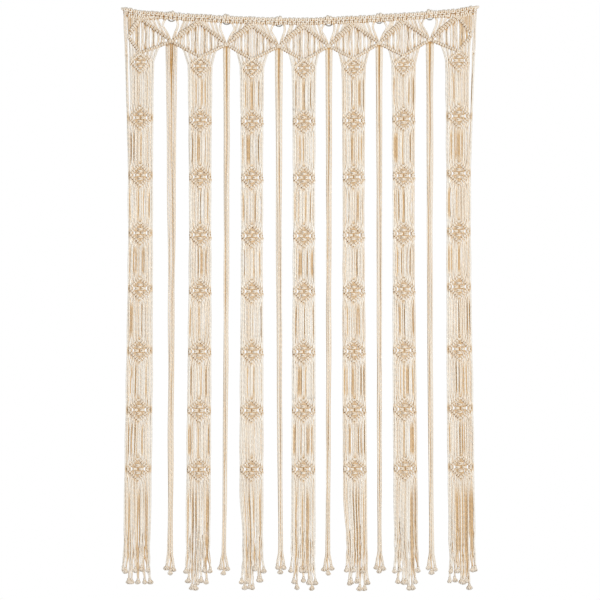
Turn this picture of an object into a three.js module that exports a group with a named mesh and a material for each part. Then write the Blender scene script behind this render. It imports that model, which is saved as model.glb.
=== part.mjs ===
// Macrame curtain of cotton cord: a knotted heading with metal rings tied behind it, a lattice of
// hitched bars, seven panels of hanging cords with knotted lozenges, and plain bundles between them.
// Millimetres. X runs across, the front faces -Y, +Z is up, and the origin is the middle of the top edge.
import * as THREE from 'three';

// Cord and clearances
const cordThick = 4;
const sheetThick = cordThick + 0.4;   // cords side by side, never quite in one plane
const crestThick = 10;                // a cord hitched round another
const gap = 0.3;                      // between pieces that touch

// The top edge hangs in a shallow sag between its two drawn-up corners
const halfWidth = 553;
const sideRise = 31;
const sagPower = 1.5;
const tipRise = 7;                    // extra lift of the knotted corner itself
const tipStart = 480;
const sideTilt = 3;                   // the right side is drawn up this much more than the left
function topEdge(x) {
  const out = Math.abs(x) / halfWidth;
  const tip = tipRise * THREE.MathUtils.smoothstep(Math.abs(x), tipStart, halfWidth);
  return sideRise * out ** sagPower + tip + (sideTilt * x) / halfWidth;
}

// Heading band
const headingDeep = 18;
const cornerDeep = 24;
const cornerStart = 440;
const headingStep = 36;
const headingThick = 13;
const knotSwell = 0.86;               // depth between two knots over depth at a knot
const tipLength = 14;

// Lattice: drops are measured down from the top edge
const barHalf = 6;
const upperPointDrop = 25;
const crossingDrop = 85;
const lowerPointDrop = 127;
const edgeCordOuter = 541;
const edgeCordWide = 8;
const sidePointX = 529;

// Panels
const firstFanHalf = 50;              // half the width that a panel gathers from under its bars
const waistDrop = 640;
const waistSpan = 380;
const waistPinch = 0.09;
const spreadStart = 660;
const spreadSpan = 1100;
const spreadPower = 1.5;
const lozengeHalf = 34;               // the outer cords run on past a lozenge's side points
const crestInset = 6;
const openingOuter = 21;              // reach of the small opening inside each side point
const openingInner = 14;
const slotWide = 4;
const slotClear = 13;
const notchDrop = 1646;
const bellTall = 20;
const neckHalf = 3;
const hemFlare = 1.12;

// Cords end in small knots at three levels
const tipDrops = { short: 1702, mid: 1738, long: 1762 };

// One row for each panel, left to right: its middle, how far it drifts sideways by the hem, its
// width, and the levels of its hem knots
const panels = [
  { centre: -492, spread: -13, wide: 83, tips: ['short', 'short', 'mid', 'mid', 'mid', 'long', 'mid'] },
  { centre: -308, spread: -8, wide: 74, tips: ['short', 'long', 'long', 'mid', 'mid', 'short'] },
  { centre: -148, spread: -3, wide: 73, tips: ['mid', 'long', 'long', 'long', 'mid', 'mid', 'short'] },
  { centre: 12, spread: -3, wide: 74, tips: ['short', 'mid', 'long', 'mid', 'mid', 'long', 'mid'] },
  { centre: 165, spread: 7, wide: 73, tips: ['short', 'mid', 'mid', 'long', 'long', 'mid'] },
  { centre: 319, spread: 9, wide: 73, tips: ['short', 'mid', 'long', 'long', 'mid', 'short'] },
  { centre: 489, spread: 14, wide: 81, tips: ['mid', 'long', 'mid', 'mid', 'long', 'short'] },
];

// One row for each bundle: it hangs from the crossing between two panels
const bundles = [
  { centre: -400, spread: -2, wide: 34 },
  { centre: -226, spread: -10, wide: 20 },
  { centre: -65, spread: 6, wide: 22 },
  { centre: 89, spread: -4, wide: 20 },
  { centre: 244, spread: 2, wide: 20 },
  { centre: 400, spread: 6, wide: 22 },
];

// One row for each row of lozenges: drop at the middle of the curtain, how much higher it is at the
// sides, and how far each lozenge reaches above and below its side points
const lozengeRows = [
  { drop: 149, lift: 27, above: 14, below: 31 },
  { drop: 315, lift: 17, above: 32, below: 32 },
  { drop: 489, lift: 14, above: 32, below: 32 },
  { drop: 668, lift: 15, above: 32, below: 32 },
  { drop: 839, lift: 15, above: 32, below: 32 },
  { drop: 1025, lift: 8, above: 32, below: 32 },
  { drop: 1205, lift: 5, above: 32, below: 32 },
  { drop: 1387, lift: 5, above: 32, below: 32 },
];

// Where the open slits between two rows of lozenges lie across a panel, in turn
const slitPlaces = [
  { left: -19, right: 9 },
  { left: -8, right: 23 },
  { left: -25, right: 13 },
];

// Bundles narrow as they hang; width is a share of the width at the crossing
const bundleTaper = [
  { drop: 100, share: 1 },
  { drop: 260, share: 0.8 },
  { drop: 660, share: 0.66 },
  { drop: 1300, share: 0.6 },
  { drop: 1640, share: 0.66 },
];
const bundleThick = 8;
const bundleTipDrops = [1694, 1710, 1697];

// Rings tied behind the heading
const ringOuter = 14;
const ringDrop = 12;
const wireHalf = 1.75;
const ringSides = 20;
const tieWide = 12;
const tieThick = 3.6;
const tieReach = 6;

// Nothing hangs in one plane: each piece drifts gently forwards and back as it goes down
const drift = (phase) => (x, z) => {
  const down = Math.max(0, -z - 100) / 1660;
  return down * (9 * Math.sin(4.2 * down + phase) + 2.5 * Math.sin(x / 40 + 2 * phase));
};

// A sheet of cords in the X-Z plane. Each point has its own thickness, half in front, half behind.
class KnottedSheet {
  constructor(depthAt) {
    this.depthAt = depthAt;
    this.positions = [];
    this.triangles = [];
    this.numbers = new Map();
  }

  vertex(point) {
    const key = `${point.x.toFixed(3)} ${point.z.toFixed(3)}`;
    if (!this.numbers.has(key)) {
      const middle = this.depthAt(point.x, point.z);
      this.numbers.set(key, this.positions.length / 3);
      this.positions.push(point.x, middle - point.thick / 2, point.z);
      this.positions.push(point.x, middle + point.thick / 2, point.z);
    }
    return this.numbers.get(key);
  }

  // Front and back faces of one region
  face(outline, holes = []) {
    const flat = (points) => points.map((point) => new THREE.Vector2(point.x, point.z));
    const all = [outline, ...holes].flat();
    for (const corner of THREE.ShapeUtils.triangulateShape(flat(outline), holes.map(flat))) {
      const ring = corner.map((index) => all[index]);
      const ordered = THREE.ShapeUtils.area(flat(ring)) > 0 ? ring : ring.reverse();
      const [a, b, c] = ordered.map((point) => this.vertex(point));
      this.triangles.push(a, b, c, c + 1, b + 1, a + 1);
    }
  }

  // The edge between front and back: outwards round the outline, inwards round a hole
  wall(outline, isHole = false) {
    const turn = THREE.ShapeUtils.area(outline.map((point) => new THREE.Vector2(point.x, point.z)));
    const ring = turn > 0 === isHole ? [...outline].reverse() : outline;
    ring.forEach((point, index) => {
      const a = this.vertex(point);
      const b = this.vertex(ring[(index + 1) % ring.length]);
      this.triangles.push(b, a, a + 1, b, a + 1, b + 1);
    });
  }

  geometry() {
    const geometry = new THREE.BufferGeometry();
    geometry.setAttribute('position', new THREE.Float32BufferAttribute(this.positions, 3));
    geometry.setIndex(this.triangles);
    geometry.computeVertexNormals();
    return geometry;
  }
}

const at = (x, z, thick = sheetThick) => ({ x, z, thick });

// Height on the straight line from one point to another
const along = (from, to, x) => from.z + ((to.z - from.z) * (x - from.x)) / (to.x - from.x);

// A narrow opening between two cords: pointed at both ends and widest in the middle
function slit(x, high, low, wide, lean = 0) {
  const middle = (high + low) / 2;
  return [
    at(x - lean, high),
    at(x - wide / 2, middle),
    at(x + lean, low),
    at(x + wide / 2, middle),
  ];
}

// Heading: a band with two ridges of knots in front, deeper at the corners, drawn to a point at each end
function headingDepth(x) {
  const towardsCorner = THREE.MathUtils.smoothstep(Math.abs(x), cornerStart, halfWidth - tipLength);
  return headingDeep + (cornerDeep - headingDeep) * towardsCorner;
}

function headingStations() {
  const straight = halfWidth - tipLength;
  const count = 2 * Math.round(straight / headingStep);
  const stations = [];
  for (let index = 0; index <= count; index += 1) {
    stations.push({ x: -straight + (2 * straight * index) / count, full: 1 });
  }
  const tip = [
    { x: straight + tipLength * 0.6, full: 0.75 },
    { x: halfWidth, full: 0.3 },
  ];
  const leftTip = tip.map((end) => ({ x: -end.x, full: end.full })).reverse();
  return [...leftTip, ...stations, ...tip];
}

const headingBottom = (x) => topEdge(x) - headingDepth(x);

function heading() {
  const half = headingThick / 2;
  const stations = headingStations();
  const positions = [];
  const triangles = [];
  stations.forEach(({ x, full }, index) => {
    const swell = index % 2 ? 1 : knotSwell;
    const deep = headingDepth(x) * full;
    const section = [
      { y: -0.5, down: 0 },
      { y: -1, down: 0.25 },
      { y: -0.65, down: 0.5 },
      { y: -1, down: 0.75 },
      { y: -0.45, down: 1 },
      { y: 0.45, down: 1 },
      { y: 1, down: 0.5 },
      { y: 0.5, down: 0 },
    ];
    section.forEach(({ y, down }) => positions.push(x, y * half * swell * full, topEdge(x) - down * deep));
  });
  const sides = 8;
  const corner = (station, side) => station * sides + (side % sides);
  for (let station = 0; station < stations.length - 1; station += 1) {
    for (let side = 0; side < sides; side += 1) {
      const a = corner(station, side);
      const b = corner(station, side + 1);
      const c = corner(station + 1, side + 1);
      const d = corner(station + 1, side);
      triangles.push(a, b, c, a, c, d);
    }
  }
  for (let side = 1; side < sides - 1; side += 1) {
    const last = stations.length - 1;
    triangles.push(corner(0, 0), corner(0, side + 1), corner(0, side));
    triangles.push(corner(last, 0), corner(last, side), corner(last, side + 1));
  }
  const geometry = new THREE.BufferGeometry();
  geometry.setAttribute('position', new THREE.Float32BufferAttribute(positions, 3));
  geometry.setIndex(triangles);
  geometry.computeVertexNormals();
  return geometry;
}

// Points of the lattice: upper points under the heading, crossings at the bundles, lower points above
// the panels
const crest = (x, drop) => at(x, topEdge(x) - drop, crestThick);
const upperPoints = panels.map((panel) => crest(panel.centre, upperPointDrop));
const lowerPoints = panels.map((panel) => crest(panel.centre, lowerPointDrop));
const crossings = [-sidePointX, ...bundles.map((bundle) => bundle.centre), sidePointX]
  .map((x) => crest(x, crossingDrop));

// The underside of the lattice, where the panels and bundles begin
const underPoint = (panelIndex) => {
  const point = lowerPoints[panelIndex];
  return at(point.x, point.z - barHalf);
};
const underCrossing = (bundleIndex) => {
  const point = crossings[bundleIndex + 1];
  return at(point.x, point.z - barHalf * 1.2);
};
const underCorner = (side) => {
  const point = underPoint(side < 0 ? 0 : panels.length - 1);
  return at(side * edgeCordOuter, point.z);
};

// Underside height under one half of a panel; side is -1 for its left half and 1 for its right half
function underBar(panelIndex, side, x) {
  const bundleIndex = side < 0 ? panelIndex - 1 : panelIndex;
  const hasBundle = bundleIndex >= 0 && bundleIndex < bundles.length;
  const outer = hasBundle ? underCrossing(bundleIndex) : underCorner(side);
  return along(outer, underPoint(panelIndex), x);
}

// Where the outer cords of a bundle leave the bars; side is -1 for left and 1 for right
const besideCrossing = (bundleIndex, side) => {
  const { centre, wide } = bundles[bundleIndex];
  const x = centre + (side * wide) / 2;
  return at(x, underBar(side < 0 ? bundleIndex : bundleIndex + 1, -side, x));
};

// The open V between the cords under a ring, cut down into the lattice's top edge
function ringOpening(bundleIndex) {
  const { centre } = bundles[bundleIndex];
  const top = (x) => headingBottom(x) - gap;
  const floor = crossings[bundleIndex + 1].z + 1.6 * barHalf;
  const topHalf = 13;
  const floorHalf = 3;
  return [
    at(centre - topHalf, top(centre - topHalf)),
    at(centre - floorHalf, floor),
    at(centre + floorHalf, floor),
    at(centre + topHalf, top(centre + topHalf)),
  ];
}

function lattice() {
  const sheet = new KnottedSheet(() => 0);
  const holes = [];
  const stations = headingStations().filter(({ full }) => full === 1).map(({ x }) => x);
  const topLine = (from, to) => stations
    .filter((x) => x > from + 3 && x < to - 3)
    .map((x) => at(x, headingBottom(x) - gap));
  const topPoint = (x) => at(x, headingBottom(x) - gap);
  const topPoints = panels.map((panel) => topPoint(panel.centre));

  // Above the upper bars, between two panels, with the V under the ring and a slit beside it
  const upperEdges = bundles.map((bundle, index) => {
    const opening = ringOpening(index);
    return [
      ...topLine(panels[index].centre, opening[0].x),
      ...opening,
      ...topLine(opening[3].x, panels[index + 1].centre),
    ];
  });
  bundles.forEach((bundle, index) => {
    const beside = 22;
    const slits = [-1, 1].map((side) => {
      const x = bundle.centre + side * beside;
      const panelIndex = side < 0 ? index : index + 1;
      const bar = along(upperPoints[panelIndex], crossings[index + 1], x);
      return slit(x, headingBottom(x) - 5, bar + barHalf * 1.3, slotWide, -side * 3);
    });
    holes.push(...slits);
    sheet.face(
      [
        topPoints[index],
        upperPoints[index],
        crossings[index + 1],
        upperPoints[index + 1],
        topPoints[index + 1],
        ...[...upperEdges[index]].reverse(),
      ],
      slits,
    );
  });

  // Between the bars of each panel: cords with open slits between them
  const slitAcross = [-0.56, -0.3, -0.02, 0.24, 0.52];
  panels.forEach((panel, index) => {
    const [left, right] = [crossings[index], crossings[index + 1]];
    const slits = slitAcross.map((share, order) => {
      const side = share < 0 ? left : right;
      const x = panel.centre + Math.abs(share) * (side.x - panel.centre);
      const clear = barHalf * (1.2 + 0.4 * (order % 2));
      const high = along(upperPoints[index], side, x) - clear;
      const low = along(lowerPoints[index], side, x) + clear;
      return slit(x, high, low, slotWide);
    });
    holes.push(...slits);
    sheet.face([upperPoints[index], left, lowerPoints[index], right], slits);
  });

  // The undersides of the lower bars
  bundles.forEach((bundle, index) => {
    const [low, next] = [lowerPoints[index], lowerPoints[index + 1]];
    const crossing = crossings[index + 1];
    sheet.face([low, underPoint(index), underCrossing(index), crossing]);
    sheet.face([crossing, underCrossing(index), underPoint(index + 1), next]);
  });

  // Both sides: cords from the corner straight down past the lattice
  const sideEdges = [-1, 1].map((side) => {
    const index = side < 0 ? 0 : panels.length - 1;
    const corner = at(side * edgeCordOuter, headingBottom(side * (halfWidth - tipLength)) - gap);
    const inner = stations
      .filter((x) => side * x > side * panels[index].centre + 3)
      .map((x) => at(x, headingBottom(x) - gap));
    const topRun = side < 0 ? inner.reverse() : inner;
    const sidePoint = crossings[side < 0 ? 0 : crossings.length - 1];
    const slitX = side * (edgeCordOuter - edgeCordWide);
    const edgeSlits = [
      slit(slitX, sidePoint.z - 3, underCorner(side).z + 8, 2.5),
    ];
    holes.push(...edgeSlits);
    sheet.face(
      [
        topPoints[index],
        upperPoints[index],
        sidePoint,
        lowerPoints[index],
        underPoint(index),
        underCorner(side),
        corner,
        ...[...topRun].reverse(),
      ],
      edgeSlits,
    );
    return { corner, topRun };
  });

  // The whole outer edge, left to right along the top and back along the underside
  const upperEdge = panels.flatMap((panel, index) => [topPoints[index], ...(upperEdges[index] ?? [])]);
  const lowerEdge = panels.flatMap((panel, index) => [
    underPoint(index),
    ...(index < bundles.length ? [underCrossing(index)] : []),
  ]);
  sheet.wall([
    sideEdges[0].corner,
    ...[...sideEdges[0].topRun].reverse(),
    ...upperEdge,
    ...sideEdges[1].topRun,
    sideEdges[1].corner,
    underCorner(1),
    ...[...lowerEdge].reverse(),
    underCorner(-1),
  ]);
  holes.forEach((hole) => sheet.wall(hole, true));
  return sheet.geometry();
}

// How far a piece has drifted sideways, and how wide a panel is, at a height
function sidewaysAt(piece, z) {
  return piece.spread * (Math.max(0, -z - spreadStart) / spreadSpan) ** spreadPower;
}

const pinchAt = (z) => 1 - waistPinch * Math.exp(-(((-z - waistDrop) / waistSpan) ** 2));
const halfWideAt = (panel, z) => (panel.wide / 2) * pinchAt(z);

const rowHeight = ({ drop, lift }, x) => lift * (x / halfWidth) ** 2 + (sideTilt * x) / halfWidth - drop;

function diamond(x, z, halfWide, above, below, thick) {
  return [
    at(x, z + above, thick),
    at(x - halfWide, z, thick),
    at(x, z - below, thick),
    at(x + halfWide, z, thick),
  ];
}

// One panel: a strip of cords with eight lozenges, open slits between them and a comb of knotted tips
function panelSheet(panel, panelIndex) {
  const sheet = new KnottedSheet(drift(panelIndex * 1.7));
  const middleAt = (z) => panel.centre + sidewaysAt(panel, z);

  // Lozenges: a raised diamond of hitches with a small opening inside each of its side points
  const lozenges = lozengeRows.map((row) => {
    const z = rowHeight(row, panel.centre);
    const { above, below } = row;
    const halfWide = lozengeHalf * pinchAt(z);
    const middle = middleAt(z);
    const outer = diamond(middle, z, halfWide, above, below, sheetThick);
    const crestHalf = halfWide - crestInset;
    const crestRing = diamond(middle, z, crestHalf, above - crestInset, below - crestInset, crestThick);
    const openings = [-1, 1].map((side) => [
      at(middle + side * openingOuter, z),
      at(middle + side * openingInner, z + above / 8),
      at(middle + side * openingInner, z - below / 6),
    ]);
    sheet.face(outer, [crestRing]);
    sheet.face(crestRing, openings);
    openings.forEach((opening) => sheet.wall(opening, true));
    return { z, halfWide, above, below, outer };
  });

  // Open slits between the rows
  const slits = [];
  lozenges.forEach((upper, row) => {
    const { left, right } = slitPlaces[(row + panelIndex) % slitPlaces.length];
    const lower = lozenges[row + 1];
    for (const across of [left, right]) {
      const slope = 1 - Math.abs(across) / upper.halfWide;
      const high = upper.z - upper.below * slope - slotClear;
      const low = lower ? lower.z + lower.above * slope + slotClear : -notchDrop + slotClear;
      slits.push(slit(middleAt((high + low) / 2) + across, high, low, slotWide));
    }
  });
  slits.forEach((opening) => sheet.wall(opening, true));

  // Outer cords, from the bars of the lattice down past each lozenge
  const side = (sign) => {
    const isEdge = panelIndex === (sign < 0 ? 0 : panels.length - 1);
    const startX = isEdge ? sign * edgeCordOuter : panel.centre + sign * firstFanHalf;
    const start = at(startX, underBar(panelIndex, sign, startX) - gap);
    const run = lozenges.map(({ z }) => at(middleAt(z) + sign * halfWideAt(panel, z), z));
    return [start, ...run];
  };

  // Hem: a comb of cords, each pair or group ending in a small bell
  const hemHalf = halfWideAt(panel, -notchDrop) * hemFlare;
  const pitch = (2 * hemHalf) / panel.tips.length;
  const hemMiddle = middleAt(-notchDrop);
  const comb = panel.tips.flatMap((level, index) => {
    const x = hemMiddle - hemHalf + pitch * (index + 0.5);
    const end = -tipDrops[level];
    const bellHalf = pitch / 2 - 0.5;
    const tooth = [
      at(x - neckHalf, end + bellTall),
      at(x - bellHalf, end, 2 * sheetThick),
      at(x + bellHalf, end, 2 * sheetThick),
      at(x + neckHalf, end + bellTall),
    ];
    const notch = at(x + pitch / 2, -notchDrop);
    return index < panel.tips.length - 1 ? [...tooth, notch] : tooth;
  });
  const outline = [
    ...side(-1),
    ...comb,
    ...side(1).reverse(),
    at(panel.centre, underPoint(panelIndex).z - gap),
  ];
  sheet.face(outline, [...lozenges.map((lozenge) => lozenge.outer), ...slits]);
  sheet.wall(outline);
  return sheet.geometry();
}

// One bundle: cords that hang together, parted just under the crossing, with three knotted ends
function bundleSheet(bundle, bundleIndex) {
  const sheet = new KnottedSheet(drift(bundleIndex * 2.3 + 0.9));
  const top = underCrossing(bundleIndex).z - gap;
  const edge = (sign) => bundleTaper.map(({ drop, share }, index) => {
    const z = index === 0 ? besideCrossing(bundleIndex, sign).z - gap : -drop;
    return at(bundle.centre + sidewaysAt(bundle, z) + (sign * share * bundle.wide) / 2, z, bundleThick);
  });
  const low = bundleTaper[bundleTaper.length - 1];
  const middle = bundle.centre + sidewaysAt(bundle, -low.drop);
  const pitch = 10;
  const comb = bundleTipDrops.flatMap((drop, index) => {
    const x = middle + pitch * (index - 1);
    const tooth = [
      at(x - neckHalf, bellTall - drop, bundleThick),
      at(x - pitch / 2 + 0.5, -drop, bundleThick),
      at(x + pitch / 2 - 0.5, -drop, bundleThick),
      at(x + neckHalf, bellTall - drop, bundleThick),
    ];
    const notch = at(x + pitch / 2, -low.drop - cordThick, bundleThick);
    return index < 2 ? [...tooth, notch] : tooth;
  });
  const outline = [...edge(-1), ...comb, ...edge(1).reverse(), at(bundle.centre, top, bundleThick)];
  const parting = slit(bundle.centre, top - 12, -300, 3);
  sheet.face(outline, [parting]);
  sheet.wall(outline);
  sheet.wall(parting, true);
  return sheet.geometry();
}

// A plain wire ring, hung flat against the back of the heading
function ringGeometry() {
  const wireSides = 6;
  const profile = [];
  for (let index = 0; index <= wireSides; index += 1) {
    const turn = (2 * Math.PI * index) / wireSides;
    const radius = ringOuter - wireHalf + wireHalf * Math.cos(turn);
    profile.push(new THREE.Vector2(radius, wireHalf * Math.sin(turn)));
  }
  return new THREE.LatheGeometry(profile, ringSides);
}

// The cord that ties a ring on, as a saddle over the heading and the top of the ring
function tieGeometry() {
  const front = -headingThick / 2 - gap;
  const back = headingThick / 2 + 2 * gap + 2 * wireHalf;
  const under = ringOuter - ringDrop + gap;
  const saddle = new THREE.Shape([
    new THREE.Vector2(front, -tieReach),
    new THREE.Vector2(front, under),
    new THREE.Vector2(back, under),
    new THREE.Vector2(back, -tieReach),
    new THREE.Vector2(back + tieThick * 0.8, -tieReach),
    new THREE.Vector2(back + tieThick, under),
    new THREE.Vector2(back, under + tieThick),
    new THREE.Vector2(front, under + tieThick),
    new THREE.Vector2(front - tieThick, under),
    new THREE.Vector2(front - tieThick * 0.8, -tieReach),
  ]);
  const geometry = new THREE.ExtrudeGeometry(saddle, { depth: tieWide, bevelEnabled: false });
  geometry.translate(0, 0, -tieWide / 2);
  geometry.rotateY(Math.PI / 2);
  geometry.rotateX(Math.PI / 2);
  return geometry;
}

const cotton = (shade) => new THREE.MeshStandardMaterial({ color: shade, roughness: 0.92, metalness: 0 });
const steel = () => new THREE.MeshStandardMaterial({ color: 0xa8a6a2, roughness: 0.35, metalness: 1 });

const curtain = new THREE.Group();
function add(name, geometry, material) {
  const mesh = new THREE.Mesh(geometry, material);
  mesh.name = name;
  curtain.add(mesh);
  return mesh;
}

add('heading', heading(), cotton(0xe6d8c2));
add('lattice', lattice(), cotton(0xe8dbc6));
panels.forEach((panel, index) => {
  add(`panel_${index + 1}`, panelSheet(panel, index), cotton(0xe9dcc8));
});
bundles.forEach((bundle, index) => {
  const name = index + 1;
  const z = topEdge(bundle.centre);
  add(`bundle_${name}`, bundleSheet(bundle, index), cotton(0xeadecb));
  const ring = add(`ring_${name}`, ringGeometry(), steel());
  ring.position.set(bundle.centre, headingThick / 2 + gap + wireHalf, z - ringDrop);
  const tie = add(`ring_tie_${name}`, tieGeometry(), cotton(0xe4d5be));
  const slope = (topEdge(bundle.centre + 1) - topEdge(bundle.centre - 1)) / 2;
  tie.position.set(bundle.centre, 0, z);
  tie.rotation.y = -Math.atan(slope);
});

export default curtain;
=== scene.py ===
# Macrame curtain: knotted cotton cord hung from six rings.
# Sizes are in millimetres while cords are laid out; a mesh is made in metres.
import math

import bpy
import numpy as np
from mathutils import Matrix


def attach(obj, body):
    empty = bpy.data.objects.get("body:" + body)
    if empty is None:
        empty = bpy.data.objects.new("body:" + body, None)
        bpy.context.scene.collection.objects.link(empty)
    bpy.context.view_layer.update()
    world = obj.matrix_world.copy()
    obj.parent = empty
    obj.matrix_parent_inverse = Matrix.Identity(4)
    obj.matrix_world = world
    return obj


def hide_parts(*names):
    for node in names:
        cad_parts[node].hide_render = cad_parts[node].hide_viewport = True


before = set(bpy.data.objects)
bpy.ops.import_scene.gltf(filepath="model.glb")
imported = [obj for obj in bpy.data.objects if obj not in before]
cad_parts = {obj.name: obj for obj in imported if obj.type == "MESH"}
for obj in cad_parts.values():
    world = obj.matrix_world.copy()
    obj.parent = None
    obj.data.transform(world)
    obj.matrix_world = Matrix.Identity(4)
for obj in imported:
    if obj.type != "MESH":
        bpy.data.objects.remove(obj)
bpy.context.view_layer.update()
metre = 0.001
front = np.array([0.0, -1.0, 0.0])

print("curtain: frame loaded,", len(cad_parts), "solids")


# The outline that every cord follows, the same as the solids'
curtain = {
    "halfWidth": 553, "sideRise": 31, "sagPower": 1.5, "tipRise": 7, "tipStart": 480, "sideTilt": 3,
    "upperPointDrop": 25, "crossingDrop": 85, "lowerPointDrop": 127, "sidePoint": 529, "edgeCord": 537,
    "waistDrop": 640, "waistSpan": 380, "waistPinch": 0.09,
    "spreadStart": 660, "spreadSpan": 1100, "spreadPower": 1.5, "hemDrop": 1646, "hemFlare": 1.12,
    "driftStart": 100, "driftSpan": 1660, "drift": 9, "driftTurn": 4.2, "ripple": 2.5, "rippleSpan": 40,
}
tipDrops = {"short": 1706, "mid": 1741, "long": 1761}

# trim is how far a panel's left edge stands in at the hem
panels = [
    {"centre": -492, "spread": -13, "wide": 83, "tips": "short short mid mid short mid short mid short mid"},
    {"centre": -308, "spread": -8, "wide": 74, "tips": "short mid long long mid mid short mid short"},
    {"centre": -148, "spread": -3, "wide": 73, "trim": 9, "tips": "mid long mid long long short mid mid short"},
    {"centre": 12, "spread": -3, "wide": 74, "tips": "short mid long short mid short mid long mid"},
    {"centre": 165, "spread": 7, "wide": 73, "trim": 8, "tips": "short mid mid short mid long short long mid"},
    {"centre": 319, "spread": 9, "wide": 73, "tips": "short mid short mid mid long long mid short"},
    {"centre": 489, "spread": 14, "wide": 81, "tips": "mid short mid short mid mid mid long short short"},
]
bundles = [
    {"centre": -396, "spread": -4, "wide": 34, "slim": 0.28},
    {"centre": -226, "spread": -10, "wide": 20},
    {"centre": -65, "spread": 6, "wide": 22},
    {"centre": 89, "spread": -4, "wide": 20},
    {"centre": 244, "spread": 2, "wide": 20},
    {"centre": 400, "spread": 6, "wide": 22},
]
# lift is how much higher a row stands at the curtain's sides
lozengeRows = [
    {"drop": 149, "lift": 27, "above": 14, "below": 31},
    {"drop": 315, "lift": 17, "above": 32, "below": 32},
    {"drop": 489, "lift": 14, "above": 32, "below": 32},
    {"drop": 668, "lift": 15, "above": 32, "below": 32},
    {"drop": 839, "lift": 15, "above": 32, "below": 32},
    {"drop": 1025, "lift": 8, "above": 32, "below": 32},
    {"drop": 1205, "lift": 5, "above": 32, "below": 32},
    {"drop": 1387, "lift": 5, "above": 32, "below": 32},
]
slitPlaces = [(-19, 9), (-8, 23), (-25, 13)]   # open slits across a panel, in turn


def smooth(value, low, high):
    share = np.clip((value - low) / (high - low), 0, 1)
    return share * share * (3 - 2 * share)


def topEdge(x):
    out = np.abs(x) / curtain["halfWidth"]
    tip = curtain["tipRise"] * smooth(np.abs(x), curtain["tipStart"], curtain["halfWidth"])
    tilt = curtain["sideTilt"] * x / curtain["halfWidth"]
    return curtain["sideRise"] * out ** curtain["sagPower"] + tip + tilt


def sideways(piece, z):
    below = np.maximum(0, -z - curtain["spreadStart"]) / curtain["spreadSpan"]
    return piece["spread"] * below ** curtain["spreadPower"]


def pinch(z):
    return 1 - curtain["waistPinch"] * np.exp(-((-z - curtain["waistDrop"]) / curtain["waistSpan"]) ** 2)


def rowHeight(row, x):
    lift = row["lift"] * (x / curtain["halfWidth"]) ** 2
    return lift + curtain["sideTilt"] * x / curtain["halfWidth"] - row["drop"]


def drift(phase, x, z):
    # how far the cloth hangs behind its flat middle, more towards the hem
    down = np.maximum(0, -z - curtain["driftStart"]) / curtain["driftSpan"]
    swing = curtain["drift"] * np.sin(curtain["driftTurn"] * down + phase)
    return down * (swing + curtain["ripple"] * np.sin(x / curtain["rippleSpan"] + 2 * phase))


def latticePoint(x, drop):
    return np.array([x, 0.0, topEdge(x) - drop])


upperPoints = [latticePoint(p["centre"], curtain["upperPointDrop"]) for p in panels]
lowerPoints = [latticePoint(p["centre"], curtain["lowerPointDrop"]) for p in panels]
crossingXs = [-curtain["sidePoint"]] + [b["centre"] for b in bundles] + [curtain["sidePoint"]]
crossings = [latticePoint(x, curtain["crossingDrop"]) for x in crossingXs]


def onLine(start, end, x):
    # the height at x of the line from start to end
    return start[2] + (end[2] - start[2]) * (x - start[0]) / (end[0] - start[0])


# Tubes of cord, gathered into one mesh
cordSides = 6


def unit(vectors):
    return vectors / np.maximum(np.linalg.norm(vectors, axis=-1, keepdims=True), 1e-9)


def dot(a, b):
    return np.sum(a * b, axis=-1, keepdims=True)


def carried(side, ahead, nextAhead, step):
    # turns a side vector from one step of a tube to the next without twisting it
    length = np.maximum(dot(step, step), 1e-9)
    mirrored = side - 2 / length * dot(step, side) * step
    mirroredAhead = ahead - 2 / length * dot(step, ahead) * step
    across = nextAhead - mirroredAhead
    return mirrored - 2 / np.maximum(dot(across, across), 1e-9) * dot(across, mirrored) * across


def sidesAlong(paths, closed):
    steps = paths.shape[1]
    if closed:
        ahead = unit(np.roll(paths, -1, 1) - np.roll(paths, 1, 1))
    else:
        ahead = unit(np.gradient(paths, axis=1))
    away = np.where(np.abs(ahead[:, 0, 1:2]) > 0.9, [[1.0, 0.0, 0.0]], [[0.0, 1.0, 0.0]])
    side = np.empty_like(paths)
    side[:, 0] = unit(away - dot(away, ahead[:, 0]) * ahead[:, 0])
    for step in range(1, steps):
        move = paths[:, step] - paths[:, step - 1]
        side[:, step] = carried(side[:, step - 1], ahead[:, step - 1], ahead[:, step], move)
    if closed:
        last = carried(side[:, -1], ahead[:, -1], ahead[:, 0], paths[:, 0] - paths[:, -1])
        sine = dot(np.cross(side[:, 0], last), ahead[:, 0])[:, 0]
        gain = np.arctan2(sine, dot(side[:, 0], last)[:, 0])
        turn = -gain[:, None] * np.arange(steps) / steps
        other = np.cross(ahead, side)
        side = np.cos(turn)[..., None] * side + np.sin(turn)[..., None] * other
    return ahead, unit(side)


def innerSide(sides, shade):
    # painted shade only on the side away from the one called outward
    around = np.arange(sides) * 2 * math.pi / sides
    return np.asarray(shade, float)[..., None] * (0.5 - 0.5 * np.cos(around))


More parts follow.
